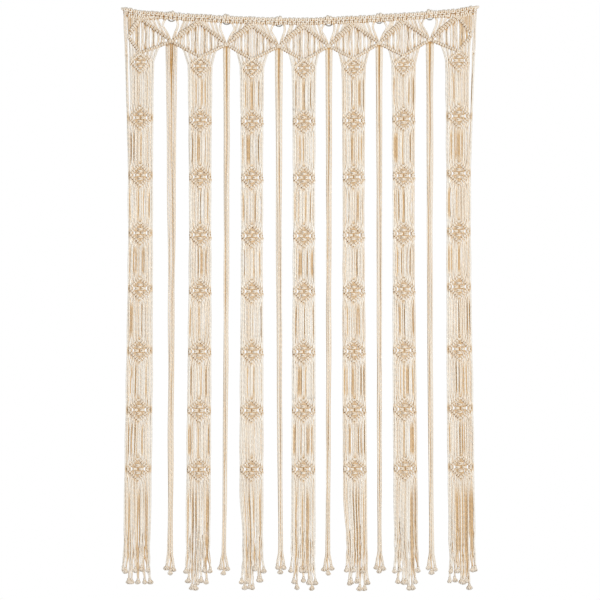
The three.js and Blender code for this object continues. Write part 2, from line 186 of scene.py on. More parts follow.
class Yarn:
    # u runs along each cord in metres and v once round it, from its back or the side called outward
    def __init__(self, seed):
        self.random = np.random.default_rng(seed)
        self.points, self.tones, self.shades = [], [], []
        self.corners, self.sizes, self.ways = [], [], []
        self.count = 0

    def add(self, paths, radius, sides=cordSides, closed=False, tones=None, shade=0.0, outward=None):
        paths = np.asarray(paths, float)
        number, steps = paths.shape[:2]
        ahead, side = sidesAlong(paths, closed)
        if outward is not None:
            side = unit(outward - dot(outward, ahead) * ahead)
        other = np.cross(ahead, side)
        turn = np.arange(sides) * 2 * math.pi / sides
        radius = np.broadcast_to(radius, (number, steps))[:, :, None, None]
        across = np.cos(turn)[:, None] * side[:, :, None] + np.sin(turn)[:, None] * other[:, :, None]
        rings = paths[:, :, None] + radius * across
        if tones is None:
            tones = self.random.random(number) * 0.6
        self.points.append(rings.reshape(-1, 3))
        self.tones.append(np.repeat(tones, steps * sides))
        # shade is painted shade, kept in the cordShade attribute
        shade = np.asarray(shade, float)
        if shade.ndim < 3:
            shade = np.broadcast_to(shade, (number, steps))[..., None]
        self.shades.append(np.broadcast_to(shade, (number, steps, sides)).ravel())

        spans = steps if closed else steps - 1
        tube, span, edge = np.meshgrid(*map(np.arange, (number, spans, sides)), indexing="ij")
        start = self.count + tube * steps * sides
        here, there = span * sides, (span + 1) % steps * sides
        nextEdge = (edge + 1) % sides
        quads = np.stack([here + edge, here + nextEdge, there + nextEdge, there + edge], -1)
        self.corners.append((start[..., None] + quads).ravel())
        self.sizes.append(np.full(number * spans * sides, 4))
        gaps = np.linalg.norm(np.diff(paths, axis=1, append=paths[:, :1]), axis=-1)[:, :spans]
        travel = np.concatenate([np.zeros((number, 1)), np.cumsum(gaps, 1)], 1) * metre
        travel = travel + self.random.random((number, 1))
        u = np.stack([travel[tube, span]] * 2 + [travel[tube, span + 1]] * 2, -1)
        v = np.stack([edge, edge + 1, edge + 1, edge], -1) / sides
        self.ways.append(np.stack([u, v], -1).reshape(-1, 2))
        if not closed:
            first = self.count + np.arange(number)[:, None] * steps * sides
            around = np.arange(sides)
            for ends, place in ((around[::-1], 0), (around + (steps - 1) * sides, -1)):
                self.corners.append((first + ends).ravel())
                self.sizes.append(np.full(number, sides))
                flat = np.stack([np.repeat(travel[:, place], sides), np.tile(around / sides, number)], -1)
                self.ways.append(flat)
        self.count += number * steps * sides

    def hang(self, paths, radius, shade=0.0, tones=None, sides=cordSides):
        # cords whose painted shade lies only where they face the front
        shade = np.broadcast_to(shade, np.shape(paths)[:2])
        self.add(paths, radius, sides, tones=tones, shade=innerSide(sides, shade), outward=-front)

    def mesh(self, name, finish):
        corners = np.concatenate(self.corners)
        sizes = np.concatenate(self.sizes)
        mesh = bpy.data.meshes.new(name)
        mesh.vertices.add(self.count)
        mesh.vertices.foreach_set("co", (np.concatenate(self.points) * metre).ravel())
        mesh.loops.add(len(corners))
        mesh.loops.foreach_set("vertex_index", corners.astype(np.int32))
        mesh.polygons.add(len(sizes))
        mesh.polygons.foreach_set("loop_start", (np.cumsum(sizes) - sizes).astype(np.int32))
        mesh.uv_layers.new(name="cordWay").data.foreach_set("uv", np.concatenate(self.ways).ravel())
        for kind, values in (("cordToneAndSeamShade", self.tones), ("cordShade", self.shades)):
            mesh.attributes.new(kind, "FLOAT", "POINT").data.foreach_set("value", np.concatenate(values))
        mesh.update(calc_edges=True)
        mesh.shade_smooth()
        mesh.materials.append(finish)
        piece = bpy.data.objects.new(name, mesh)
        bpy.context.scene.collection.objects.link(piece)
        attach(piece, "root")
        print("curtain:", name, int(np.sum(sizes - 2)), "triangles")
        return piece


def bend(points, steps):
    # a smooth curve through each row of points, with so many steps on each stretch
    points = np.asarray(points, float)
    gaps = np.maximum(np.linalg.norm(np.diff(points, axis=1), axis=-1), 1e-6)[..., None]
    slopes = np.diff(points, axis=1) / gaps
    middle = slopes[:, :-1] * gaps[:, 1:] + slopes[:, 1:] * gaps[:, :-1]
    middle = middle / (gaps[:, :-1] + gaps[:, 1:])
    tangents = np.concatenate([slopes[:, :1], middle, slopes[:, -1:]], 1)
    share = (np.arange(steps) / steps)[:, None]
    a, b = points[:, :-1, None], points[:, 1:, None]
    gap, ta, tb = gaps[:, :, None], tangents[:, :-1, None], tangents[:, 1:, None]
    cube, square = share ** 3, share ** 2
    curve = (2 * cube - 3 * square + 1) * a + (cube - 2 * square + share) * gap * ta
    curve = curve + (3 * square - 2 * cube) * b + (cube - square) * gap * tb
    return np.concatenate([curve.reshape(len(points), -1, 3), points[:, -1:]], 1)


def inTurn(number):
    return np.where(np.arange(number) % 2 == 0, 1, -1)


def fallen(starts, z, span):
    # 0 where a cord starts, 1 from span below
    return np.clip((starts - z) / span, 0, 1)


def waves(random, z, shortest, longest, turn=6):
    # a slow wave down each cord, with its own length and its own start
    wave = z * 2 * math.pi / random.uniform(shortest, longest, (len(z), 1))
    return np.sin(wave + random.uniform(0, turn, (len(z), 1)))


def heightsDown(starts, body, ends):
    # heights of the points on each cord: the body's are shared by all of them
    number = len(starts)
    top = np.linspace(starts, np.full(number, body[0]), 6, axis=1)[:, :-1]
    low = np.linspace(np.full(number, body[-1]), ends, 12, axis=1)[:, 1:]
    return np.concatenate([top, np.tile(body, (number, 1)), low], 1)


# Knots: a hitch is a cord wound twice round a leader; a notch is a short cord turn between two hitches,
# coloured dark as painted shade
hitch = {
    "turns": 2, "stepsPerTurn": 6, "sides": 5, "cord": 2.25, "close": 0.8, "lean": 0.7, "leanUneven": 0.4,
    "uneven": 0.1, "leader": 2.6, "leaderPoints": 9, "leaderShade": 0.75, "lowShade": 0.35, "backShade": 1.0,
    "notch": 2.05, "notchSides": 4, "notchOut": 0.5, "notchTurns": [30, 70, 110, 150], "notchShift": 0.6,
    "notchSizes": (0.5, 1.15), "notchShades": (1.1, 1.8),
}


def addHitches(yarn, centres, alongs, reach, pitch, hand):
    # one at each centre; its two ends are behind
    centres, alongs = np.asarray(centres, float), unit(np.asarray(alongs, float))
    number, steps = len(centres), hitch["turns"] * hitch["stepsPerTurn"]
    share = np.arange(steps + 1) / steps
    turn = (math.pi + hand * 2 * math.pi * hitch["turns"] * share)[:, None]
    size = reach * (1 + hitch["uneven"] * yarn.random.uniform(-1, 1, (number, 1, 1)))
    down = np.cross(alongs, front)[:, None]
    uneven = hitch["leanUneven"]
    lean = yarn.random.uniform(-uneven, uneven, (number, 1, 1)) + hitch["lean"] * hand
    shift = hitch["close"] * pitch * (share[:, None] - 0.5) + lean * np.sin(turn)
    outward = np.cos(turn) * front + np.sin(turn) * down
    paths = centres[:, None] + size * outward + shift * alongs[:, None]
    # painted shade on the lower side of each turn and on the inner side of its back half
    low = np.clip(np.sin(turn) * down[:, :, 2:] * -1, 0, 1)[..., 0]
    back = np.clip(-np.cos(turn[:, 0]), 0, 1)
    inner = innerSide(hitch["sides"], hitch["backShade"] * back)
    shade = np.maximum(hitch["lowShade"] * low[..., None] ** 2, inner)
    yarn.add(paths, hitch["cord"], hitch["sides"], shade=shade, outward=outward)


def addNotches(yarn, centres, alongs, reach, pitch, strength):
    # short turns between the hitches, coloured dark as painted shade, at their lower side or, where strength is
    # negative, above
    centres, alongs = np.asarray(centres, float), unit(np.asarray(alongs, float))
    number = len(centres)
    down = (np.cross(alongs, front) * (1 if strength > 0 else -1))[:, None]
    turn = np.radians(hitch["notchTurns"])[:, None]
    shift = yarn.random.uniform(-hitch["notchShift"], hitch["notchShift"], (number, 3)) * [1, 0, 1]
    middles = centres + alongs * pitch / 2 + shift
    paths = middles[:, None] + (reach + hitch["notchOut"]) * (np.cos(turn) * front + np.sin(turn) * down)
    size = hitch["notch"] * abs(strength) ** 0.5 * yarn.random.uniform(*hitch["notchSizes"], (number, 1))
    shade = abs(strength) * yarn.random.uniform(*hitch["notchShades"], (number, 1))
    yarn.add(paths, size * [0.6, 1, 1, 0.6], hitch["notchSides"], shade=shade)


def addBar(yarn, start, end, xs, reach, bow, hand, depth=None, notches=()):
    # a leader from start to end with a hitch at each x
    start, end = np.asarray(start, float), np.asarray(end, float)
    points = hitch["leaderPoints"]
    leaderShares = np.linspace(0, 1, points)
    shares = np.concatenate([leaderShares, (np.asarray(xs) - start[0]) / (end[0] - start[0])])[:, None]
    spots = start + shares * (end - start)
    spots[:, 2] += bow * np.sin(math.pi * shares[:, 0])
    if depth:
        spots[:, 1] += depth(spots[:, 0], spots[:, 2])
    # the leader is coloured with painted shade where it shows between the hitches
    yarn.add([spots[:points]], hitch["leader"], shade=hitch["leaderShade"])
    spots = spots[points:]
    way = (end - start) * (1 if end[0] > start[0] else -1)
    ways = np.tile(way, (len(xs), 1))
    pitch = np.abs(np.mean(np.diff(xs))) * np.linalg.norm(way) / abs(way[0])
    addHitches(yarn, spots, ways, reach, pitch, hand)
    within = spots[:, 0] + pitch / 2 < max(start[0], end[0]) - 1
    for strength in notches:
        addNotches(yarn, spots[within], ways[within], reach, pitch, strength)


def addLoops(yarn, centres, alongs, high, deep, cord, tilt, steps=12, tones=None):
    # closed turns round what passes through each centre: high across it, deep from front to back
    centres, alongs = np.asarray(centres, float), unit(np.asarray(alongs, float))
    turn = (np.arange(steps) * 2 * math.pi / steps)[:, None]
    down = np.cross(alongs, front)[:, None]
    high, deep, tilt = (np.broadcast_to(v, len(centres))[:, None, None] for v in (high, deep, tilt))
    paths = centres[:, None] + deep * np.cos(turn) * front + high * np.sin(turn) * down
    paths = paths + tilt * high * np.sin(turn) * alongs[:, None]
    # painted shade on the inner side of each loop's back half
    back = np.clip(-np.cos(turn[:, 0]), 0, 1)
    shade = innerSide(cordSides, back)[None]
    yarn.add(paths, cord, closed=True, tones=tones, shade=shade, outward=paths - centres[:, None])


# Finishes
class Wire:
    # one socket of a finish, so that its maths reads as sums
    def __init__(self, finish, socket):
        self.finish, self.socket = finish, socket

    def maths(self, operation, other=0.0, swap=False):
        pair = (other, self) if swap else (self, other)
        return self.finish.node("ShaderNodeMath", {"operation": operation}, {0: pair[0], 1: pair[1]})

    def __add__(self, other):
        return self.maths("ADD", other)

    def __sub__(self, other):
        return self.maths("SUBTRACT", other)

    def __rsub__(self, other):
        return self.maths("SUBTRACT", other, True)

    def __mul__(self, other):
        return self.maths("MULTIPLY", other)

    def __pow__(self, other):
        return self.maths("POWER", other)

    __radd__ = __add__
    __rmul__ = __mul__


class Finish:
    def __init__(self, name):
        self.material = bpy.data.materials.new(name)
        self.material.use_nodes = True
        self.tree = self.material.node_tree
        self.tree.nodes.clear()

    def node(self, kind, settings, inputs=None, output=0):
        made = self.tree.nodes.new(kind)
        for name, value in settings.items():
            setattr(made, name, value)
        for name, value in (inputs or {}).items():
            if isinstance(value, Wire):
                self.tree.links.new(value.socket, made.inputs[name])
            else:
                made.inputs[name].default_value = value
        return Wire(self, made.outputs[output])

    def blend(self, factor, a, b):
        return self.node("ShaderNodeMix", {"data_type": "RGBA"}, {0: factor, 6: a, 7: b}, 2)

    def attribute(self, name):
        return self.node("ShaderNodeAttribute", {"attribute_name": name}, {}, "Fac")

    def surface(self, inputs):
        shader = self.node("ShaderNodeBsdfPrincipled", {}, inputs)
        out = self.tree.nodes.new("ShaderNodeOutputMaterial")
        self.tree.links.new(shader.socket, out.inputs["Surface"])
        return self.material


# pale and warm are the cord's own colours; flank, deep and hollow are painted shade colours, and the valley is
# painted shade in the strand grooves
cotton = {
    "pale": (0.88, 0.885, 0.86, 1), "warm": (0.88, 0.835, 0.76, 1),
    "flank": (0.60, 0.37, 0.12, 1), "deep": (0.45, 0.24, 0.08, 1), "hollow": (0.27, 0.12, 0.03, 1),
    "flankShare": 1.8, "flankPower": 2.7, "toneShare": 1.15, "valleyShare": 0.2, "valleyPower": 3.0,
    "tanShadeShare": 1.25, "deepFrom": 0.4, "deepShare": 1.6, "hollowFrom": 1.0,
    "warmShare": 0.45, "patchShare": 0.5, "warmLess": 0.15, "patchScale": 23.0,
    "fibreLong": 260.0, "fibreLean": 14.0, "fibreTwist": 9.0, "fibreShare": 0.1, "fibreLess": 0.05,
    "strands": 3, "lay": 0.017, "strandDepth": 0.0009, "strandPower": 0.6, "fibreHeight": 0.25,
    "bump": 0.6, "roughness": 0.88, "sheen": 0.2,
}


def makeCotton():
    # tone 1 is a pale cord, 0 a warmer one with more painted tan shade on its flanks; the shade attribute is
    # painted shade, going from tan through deep to hollow
    finish = Finish("cottonCord")
    way = finish.node("ShaderNodeUVMap", {"uv_map": "cordWay"})
    along, around = (finish.node("ShaderNodeSeparateXYZ", {}, {0: way}, axis) for axis in (0, 1))
    twist = along * (1 / cotton["lay"]) + around * cotton["strands"]
    strand = (twist * (2 * math.pi)).maths("SINE") * 0.5 + 0.5
    # painted shade in the grooves between the strands
    valley = (1 - strand) ** cotton["valleyPower"]
    # painted shade on each cord's flanks, where neighbouring cords would shade it
    flank = (around * (2 * math.pi)).maths("SINE").maths("ABSOLUTE") ** cotton["flankPower"]
    place = finish.node("ShaderNodeTexCoord", {}, {}, "Object")
    fibreWay = finish.node("ShaderNodeCombineXYZ", {}, {
        0: along * cotton["fibreLong"] - around * cotton["fibreLean"], 1: twist * cotton["fibreTwist"]})
    fibre = finish.node("ShaderNodeTexNoise", {}, {"Vector": fibreWay, "Scale": 1.0, "Detail": 3.0})
    patchScale = cotton["patchScale"]
    patch = finish.node("ShaderNodeTexNoise", {}, {"Vector": place, "Scale": patchScale, "Detail": 2.0})
    tone = finish.attribute("cordToneAndSeamShade")
    warmth = (1 - tone) * cotton["warmShare"] + patch * cotton["patchShare"] - cotton["warmLess"]
    colour = finish.blend(warmth, cotton["pale"], cotton["warm"])
    # the seam: painted tan shade on flanks and in grooves, less on cords of high tone, plus random fibre tone
    seam = flank * (cotton["flankShare"] - tone * cotton["toneShare"])
    seam = valley * cotton["valleyShare"] + seam + fibre * cotton["fibreShare"] - cotton["fibreLess"]
    colour = finish.blend(seam, colour, cotton["flank"])
    # the cordShade attribute is painted shade: tan, then deep brown, then hollow brown
    shade = finish.attribute("cordShade")
    colour = finish.blend(shade * cotton["tanShadeShare"], colour, cotton["flank"])
    colour = finish.blend((shade - cotton["deepFrom"]) * cotton["deepShare"], colour, cotton["deep"])
    colour = finish.blend(shade - cotton["hollowFrom"], colour, cotton["hollow"])
    height = strand ** cotton["strandPower"] + fibre * cotton["fibreHeight"]
    bump = finish.node("ShaderNodeBump", {}, {
        "Strength": cotton["bump"], "Distance": cotton["strandDepth"], "Height": height})
    return finish.surface({
        "Base Color": colour, "Roughness": fibre * 0.1 + (cotton["roughness"] - 0.05), "Normal": bump,
        "Sheen Weight": cotton["sheen"], "Sheen Roughness": 0.5, "Specular IOR Level": 0.2,
    })


cottonCord = makeCotton()


# Camera, floor and light
stage = {
    "wide": 1.848, "middle": -0.8655, "lens": 120, "sensor": 36,
    "floorDrop": 1.965, "floorSize": 9.0, "floorBack": 1.0,
    "floorColour": (0.86, 0.86, 0.855, 1), "sky": 0.28, "skyColour": (1.0, 0.92, 0.80, 1),
}
lamps = [
    {"name": "keyLight", "place": (2.6, -6.5, 0.4), "size": 2.5, "power": 295},
    {"name": "fillLight", "place": (-0.7, -3.2, -1.4), "size": 1.0, "power": 26},
]


def makeLamp(lampSizes):
    # a round lamp that faces the middle of the curtain
    lamp = bpy.data.lights.new(lampSizes["name"], "AREA")
    lamp.shape, lamp.size, lamp.energy = "DISK", lampSizes["size"], lampSizes["power"]
    piece = bpy.data.objects.new(lampSizes["name"], lamp)
    piece.location = lampSizes["place"]
    x, y, z = np.array([0, 0, stage["middle"]]) - lampSizes["place"]
    piece.rotation_euler = (math.atan2(math.hypot(x, y), -z), 0, math.atan2(y, x) - math.pi / 2)
    bpy.context.scene.collection.objects.link(piece)


def makeStage():
    camera = bpy.data.cameras.new("camera")
    camera.lens, camera.sensor_width = stage["lens"], stage["sensor"]
    cameraPiece = bpy.data.objects.new("camera", camera)
    cameraPiece.location = (0, -stage["wide"] / stage["sensor"] * stage["lens"], stage["middle"])
    cameraPiece.rotation_euler = (math.pi / 2, 0, 0)
    bpy.context.scene.collection.objects.link(cameraPiece)
    bpy.context.scene.camera = cameraPiece

    bpy.ops.object.select_all(action="DESELECT")
    floorPlace = (0, stage["floorBack"] - stage["floorSize"] / 2, -stage["floorDrop"])
    bpy.ops.mesh.primitive_plane_add(size=stage["floorSize"], location=floorPlace)
    floor = bpy.context.object
    floor.name = "floor"
    finish = Finish("floorFinish")
    floor.data.materials.append(finish.surface({"Base Color": stage["floorColour"], "Roughness": 0.9}))

    world = bpy.data.worlds.new("studio")
    bpy.context.scene.world = world
    world.use_nodes = True
    tree = world.node_tree
    tree.nodes.clear()
    rays = tree.nodes.new("ShaderNodeLightPath")
    mix = tree.nodes.new("ShaderNodeMixShader")
    tree.links.new(rays.outputs["Is Camera Ray"], mix.inputs[0])
    for slot, colour, strength in ((1, stage["skyColour"], stage["sky"]), (2, (1, 1, 1, 1), 1.0)):
        background = tree.nodes.new("ShaderNodeBackground")
        background.inputs["Color"].default_value = colour
        background.inputs["Strength"].default_value = strength
        tree.links.new(background.outputs[0], mix.inputs[slot])
    out = tree.nodes.new("ShaderNodeOutputWorld")
    tree.links.new(mix.outputs[0], out.inputs["Surface"])
    for lampSizes in lamps:
        makeLamp(lampSizes)
    bpy.context.scene.view_settings.view_transform = "Standard"


makeStage()
print("curtain: camera and light ready")


# Heading: looped knots over a holding cord, a row of hitches below, a third row at the corners
heading = {
    "end": 541, "headPitch": 13.6, "headUneven": 0.8, "headDrop": 3.0, "coreDrop": 8.4, "hitchDrop": 14.4,
    "holdingCord": 4.0, "core": 2.7, "loopApart": 3.2, "loopHigh": 4.3, "loopDeep": 4.6, "loopCord": 2.9,
    "openingDrop": 5.4, "openingReach": 4.6, "openingHalf": 2.0, "openingSizes": (1.2, 2.1),
    "openingShades": (1.1, 1.6), "frontBarDrop": 8.0,
    "hitchApart": 2.8, "hitchUneven": 1.3, "hitchReach": 3.6, "hitchPitch": 4.6, "notchPitch": 7.4,
    "cornerPitch": 7.4, "cornerClose": 7.0, "cornerReach": 3.2, "cornerStart": 452,
    "cornerFall": (440, 490), "cornerHitchDrop": 22.0,
}
# shade here is painted shade; the core is coloured dark to stand for the shade between the knots
heldLines = (("headDrop", -1.0, "holdingCord", 0.15), ("coreDrop", 0.6, "core", 1.0),
             ("hitchDrop", 0, "core", 0.8))   # drop, y, cord and shade of each
frontBar = [(-4.2, 2.0, 0.8), (-3.6, -2.6, 0.5), (-1.9, -5.0, -0.3), (0, -5.8, -0.7), (1.9, -5.0, -0.3),
            (3.6, -2.6, 0.5), (4.2, 2.0, 0.8)]
# painted shade at the front bar's ends, where it goes behind the loops
frontBarShade = [1, 0.5, 0.1, 0, 0, 0, 0, 0, 0, 0, 0.1, 0.5, 1]
# the notches are short cord turns coloured dark as painted shade
notchChances = {-1: ((1.0, 0.35), (-1.0, 0.4)), 1: ((1.0, 0.85), (-1.0, 0.7))}   # strength, how often
endKnot = ((-2, 13, 6.6), (-1, 6, 6.2), (4, 3, 5.2), (8, 1.5, 3.2))   # out, down and size of its turns
endKnotCord = 2.3


def alongTop(xs, drop, y=0.0):
    return np.stack([xs, np.full_like(xs, y), topEdge(xs) - drop], -1)


def directionsAt(xs):
    return unit(np.stack([np.full_like(xs, 2.0), 0 * xs, topEdge(xs + 1) - topEdge(xs - 1)], -1))


def addEndKnot(yarn, side):
    # the cord's end, wound on itself to a point
    end = heading["end"]
    for out, drop, size in endKnot:
        spot = [[side * (end + out), 0, topEdge(side * end) - drop]]
        for turn in (0.45, -0.4):
            addLoops(yarn, spot, [[side, 0, turn]], size - 1.9, size - 2.4, endKnotCord, turn * 0.6)


def addHeads(yarn):
    # the mounting knots: two loops over the holding cord, a short cord coloured dark as painted shade in the
    # opening between them, and a bar in front
    random, end = yarn.random, heading["end"]
    heads = np.arange(-end + 6, end - 2, heading["headPitch"])
    number = len(heads)
    heads = heads + random.uniform(-heading["headUneven"], heading["headUneven"], number)
    lifts = random.uniform(-0.4, 1.6, number)
    tones = random.random(number)
    for side in (-1, 1):
        xs = heads + side * heading["loopApart"] * random.uniform(0.9, 1.15, number)
        spots = alongTop(xs, heading["headDrop"])
        spots[:, 2] += lifts
        high = heading["loopHigh"] * random.uniform(0.9, 1.12, number)
        tilt = random.uniform(-0.15, 0.15, number) + side * 0.2
        deep, cord = heading["loopDeep"], heading["loopCord"]
        addLoops(yarn, spots, directionsAt(xs), high, deep, cord, tilt, 10, tones)
    spots = alongTop(heads, heading["openingDrop"], -heading["openingReach"])
    spots += random.uniform(-0.8, 0.8, (number, 3)) + np.stack([0 * heads, 0 * heads, lifts], -1)
    half = np.array([0, 0.6, heading["openingHalf"]])
    size = random.uniform(*heading["openingSizes"], (number, 1)) * [0.5, 1, 0.7]
    shade = random.uniform(*heading["openingShades"], (number, 1))
    yarn.add(np.stack([spots + half, spots, spots - half], 1), size, shade=shade)
    bars = []
    for x, lift in zip(heads, lifts * 1.2 - random.uniform(-0.3, 1.6, number)):
        z = topEdge(x) - heading["frontBarDrop"] + lift
        bars.append([(x + dx, y, z + dz) for dx, y, dz in frontBar])
    yarn.add(bend(bars, 2), heading["loopCord"], tones=tones, shade=frontBarShade)
    return heads


def addCorner(yarn, side):
    # the third row of hitches, which leaves the second one near the curtain's end
    end, reach = heading["end"], heading["cornerReach"]
    xs = side * np.arange(heading["cornerStart"], end - 12, heading["cornerPitch"])
    leave = smooth(np.abs(xs), *heading["cornerFall"])
    drop = heading["hitchDrop"] + (heading["cornerHitchDrop"] - heading["hitchDrop"]) * leave
    line = np.linspace(side * (heading["cornerStart"] - 6), side * (end - 6), 20)
    # the corner's line is coloured dark with painted shade
    yarn.hang([alongTop(line, heading["cornerHitchDrop"], 1.0)], heading["core"], 1.0)
    addHitches(yarn, alongTop(xs, drop), directionsAt(xs), reach, heading["cornerClose"], -1)
    addEndKnot(yarn, side)


def makeHeading():
    yarn = Yarn(11)
    random = yarn.random
    line = np.linspace(-heading["end"] - 3, heading["end"] + 3, 90)
    for drop, y, size, shade in heldLines:
        yarn.hang([alongTop(line, heading[drop], y)], heading[size], shade)
    heads = addHeads(yarn)
    number = len(heads)
    uneven = heading["hitchUneven"]
    for side in (-1, 1):
        xs = heads + side * heading["hitchApart"] + random.uniform(-0.5, 0.5, number)
        spots = alongTop(xs, heading["hitchDrop"])
        spots[:, 1:] += random.uniform(-uneven, uneven, (number, 2)) + [0, side * 0.5]
        ways = directionsAt(xs)
        addHitches(yarn, spots, ways, heading["hitchReach"], heading["hitchPitch"], side)
        for strength, chance in notchChances[side]:
            some = random.random(number) < chance
            addNotches(yarn, spots[some], ways[some], heading["hitchReach"], heading["notchPitch"], strength)
    for side in (-1, 1):
        addCorner(yarn, side)
    piece = yarn.mesh("headingKnots", cottonCord)
    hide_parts("heading")
    return piece


headingKnots = makeHeading()


# Lattice: cords from the heading down through two hitched bars on each side of a panel
lattice = {
    "columns": 12, "toPanel": 8, "edgeColumns": 8, "cord": 2.35, "behind": 2.8, "startSpan": 14, "sway": 1.2,
    "pair": 1.25, "extras": [1, 4, 7], "extraBehind": 4.4, "reach": 3.5, "bow": 1.0, "halfPanel": 80,
    "secondRowLift": 9.2, "secondRow": slice(1, 9), "edgeSecondRow": slice(1, 7), "headingGap": 16,
    "edgeOut": (0, 4.8, 9.4), "edgeLean": 5.0, "edgeShade": 0.4,
}
# cordShades: painted shade down each cord
cordShades = (   # at these steps down a cord, darkest behind the heading and both bars
    [0, 1, 3, 9, 11, 14, 15, 17, 22, 24, 27], [1, 0.8, 0, 0, 0.3, 1, 0.5, 0, 0, 0.4, 1])
# painted shade along each extra cord behind the others
extraShade = [1, 0.4, 0.3, 0.3, 0.4, 1]
besideRing = [14, 16.5, 33, 36.5, 45, 48.5, 57, 60.5, 67, 70.5, 76, 79]   # cord tops out from a ring
ringKinks = [(12, 6), (6, 11), (11, 5), (12, 4), (7, 12), (11, 6)]   # left and right of each ring


def latticeColumns(index, side):
    # places across one half of a panel, from its middle out to its crossing
    crossing = crossings[index + (side > 0)]
    atEdge = index + (side > 0) in (0, len(panels))
    number = lattice["edgeColumns"] if atEdge else lattice["columns"]
    share = (np.arange(number) + 0.5) / number
    return panels[index]["centre"] + share * (crossing[0] - panels[index]["centre"]), crossing, atEdge


def latticeHalf(index, side, cords, knots):
    # one side of a panel: its cords, the two bars over them and, on the left, a second row on the upper bar
    random = cords.random
    xs, crossing, atEdge = latticeColumns(index, side)
    number = len(xs)
    starts, kink = xs.copy(), np.zeros(number)
    if not atEdge:
        span = abs(crossing[0] - panels[index]["centre"]) / lattice["halfPanel"]
        shift = random.uniform(-3, 3, 6) * [0.4, 1, 1, 0.6, 0.4, 0]   # each pair together
        beside = np.array(besideRing) + np.repeat(shift, 2)
        starts = crossing[0] - side * beside[::-1] * span
        bulge = ringKinks[index if side > 0 else index - 1][0 if side > 0 else 1]
        kink[-2:] = bulge * np.array([0.8, 1.0])
        kink[-6:-2] = random.uniform(-1, 1.5) * np.array([1, 1, -1, -1])
    kink = -side * kink
    high = onLine(upperPoints[index], crossing, xs)
    low = onLine(lowerPoints[index], crossing, xs)
    top = topEdge(starts) - lattice["headingGap"]
    fall = top - high
    sway = np.repeat(random.uniform(-1, 1, (2, number // 2)), 2, axis=1) * lattice["sway"]
    deep = random.uniform(-1.2, 1.2, (3, number))
    pair = lattice["pair"] * np.repeat(random.uniform(0.2, 1.8, number // 2), 2) * inTurn(number) * side
    behind = np.full(number, lattice["behind"])
    columns = [
        (starts, behind, top),
        (starts + 0.4 * kink, deep[0], top - 0.12 * fall),
        (0.8 * starts + 0.2 * xs + kink, deep[0], top - 0.28 * fall),
        (0.4 * starts + 0.6 * xs + 0.3 * kink, deep[1], top - 0.64 * fall),
        (xs, behind, high + 3),
        (xs, behind, high - 4),
        (xs + pair + sway[0], deep[2], 0.65 * high + 0.35 * low),
        (xs + pair + sway[1], deep[1], 0.35 * high + 0.65 * low),
        (xs, behind, low + 4),
        (xs, behind, low - 3),
    ]
    paths = bend(np.stack([np.stack(c, -1) for c in columns], 1), 3)
    shade = np.interp(np.arange(paths.shape[1]), *cordShades)
    # random painted shade on the crowded columns at the curtain's edge
    if atEdge:
        shade = np.maximum(shade, lattice["edgeShade"] * random.uniform(0, 1.6, (number, 1)))
    cords.hang(paths, lattice["cord"], shade)
    for extra in lattice["extras"][:number // 4]:
        x = (xs[extra] + xs[extra + 1]) / 2 + random.uniform(-1.5, 1.5)
        z = np.linspace(onLine(upperPoints[index], crossing, x), onLine(lowerPoints[index], crossing, x), 6)
        across = x + lattice["sway"] * np.sin(z / 9 + extra)
        path = np.stack([across, np.full(6, lattice["extraBehind"]), z], -1)
        cords.hang([path], lattice["cord"], extraShade)

    for point, wave in ((upperPoints[index], lattice["bow"]), (lowerPoints[index], -lattice["bow"])):
        hand = side if wave > 0 else -side
        falling = side * (point[2] - crossing[2]) > 0
        notches = [1.35, -0.45] if falling else [0.75, -0.65]
        addBar(knots, point, crossing, xs, lattice["reach"], wave, hand, notches=notches)
    if side < 0:
        some = xs[lattice["edgeSecondRow" if atEdge else "secondRow"]] + 1.5
        ends = []
        for x in (some[0] + 4, some[-1] - 4):
            z = onLine(upperPoints[index], crossing, x) + lattice["secondRowLift"]
            ends.append((x, -0.8, z))
        addBar(knots, *ends, some, lattice["reach"], 0, -side, notches=[-0.8, 0.6])


def makeLattice():
    cords, knots = Yarn(21), Yarn(22)
    for index in range(len(panels)):
        for side in (-1, 1):
            latticeHalf(index, side, cords, knots)
    for side in (-1, 1):
        for out in lattice["edgeOut"]:
            x = side * (curtain["edgeCord"] - out)
            low = topEdge(side * 500) - curtain["lowerPointDrop"] - 12
            if out == max(lattice["edgeOut"]):
                low = crossings[0][2]
            z = np.linspace(topEdge(x) - lattice["headingGap"], low, 14)
            across = x + side * lattice["edgeLean"] * np.linspace(1, 0, 14) + 0.5 * np.sin(z / 17 + out)
            cords.hang([np.stack([across, 0 * z + 0.3 * out, z], -1)], lattice["cord"])
    cordPiece = cords.mesh("latticeCords", cottonCord)
    knotPiece = knots.mesh("latticeKnots", cottonCord)
    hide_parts("lattice")
    return cordPiece, knotPiece


latticeCords, latticeKnots = makeLattice()


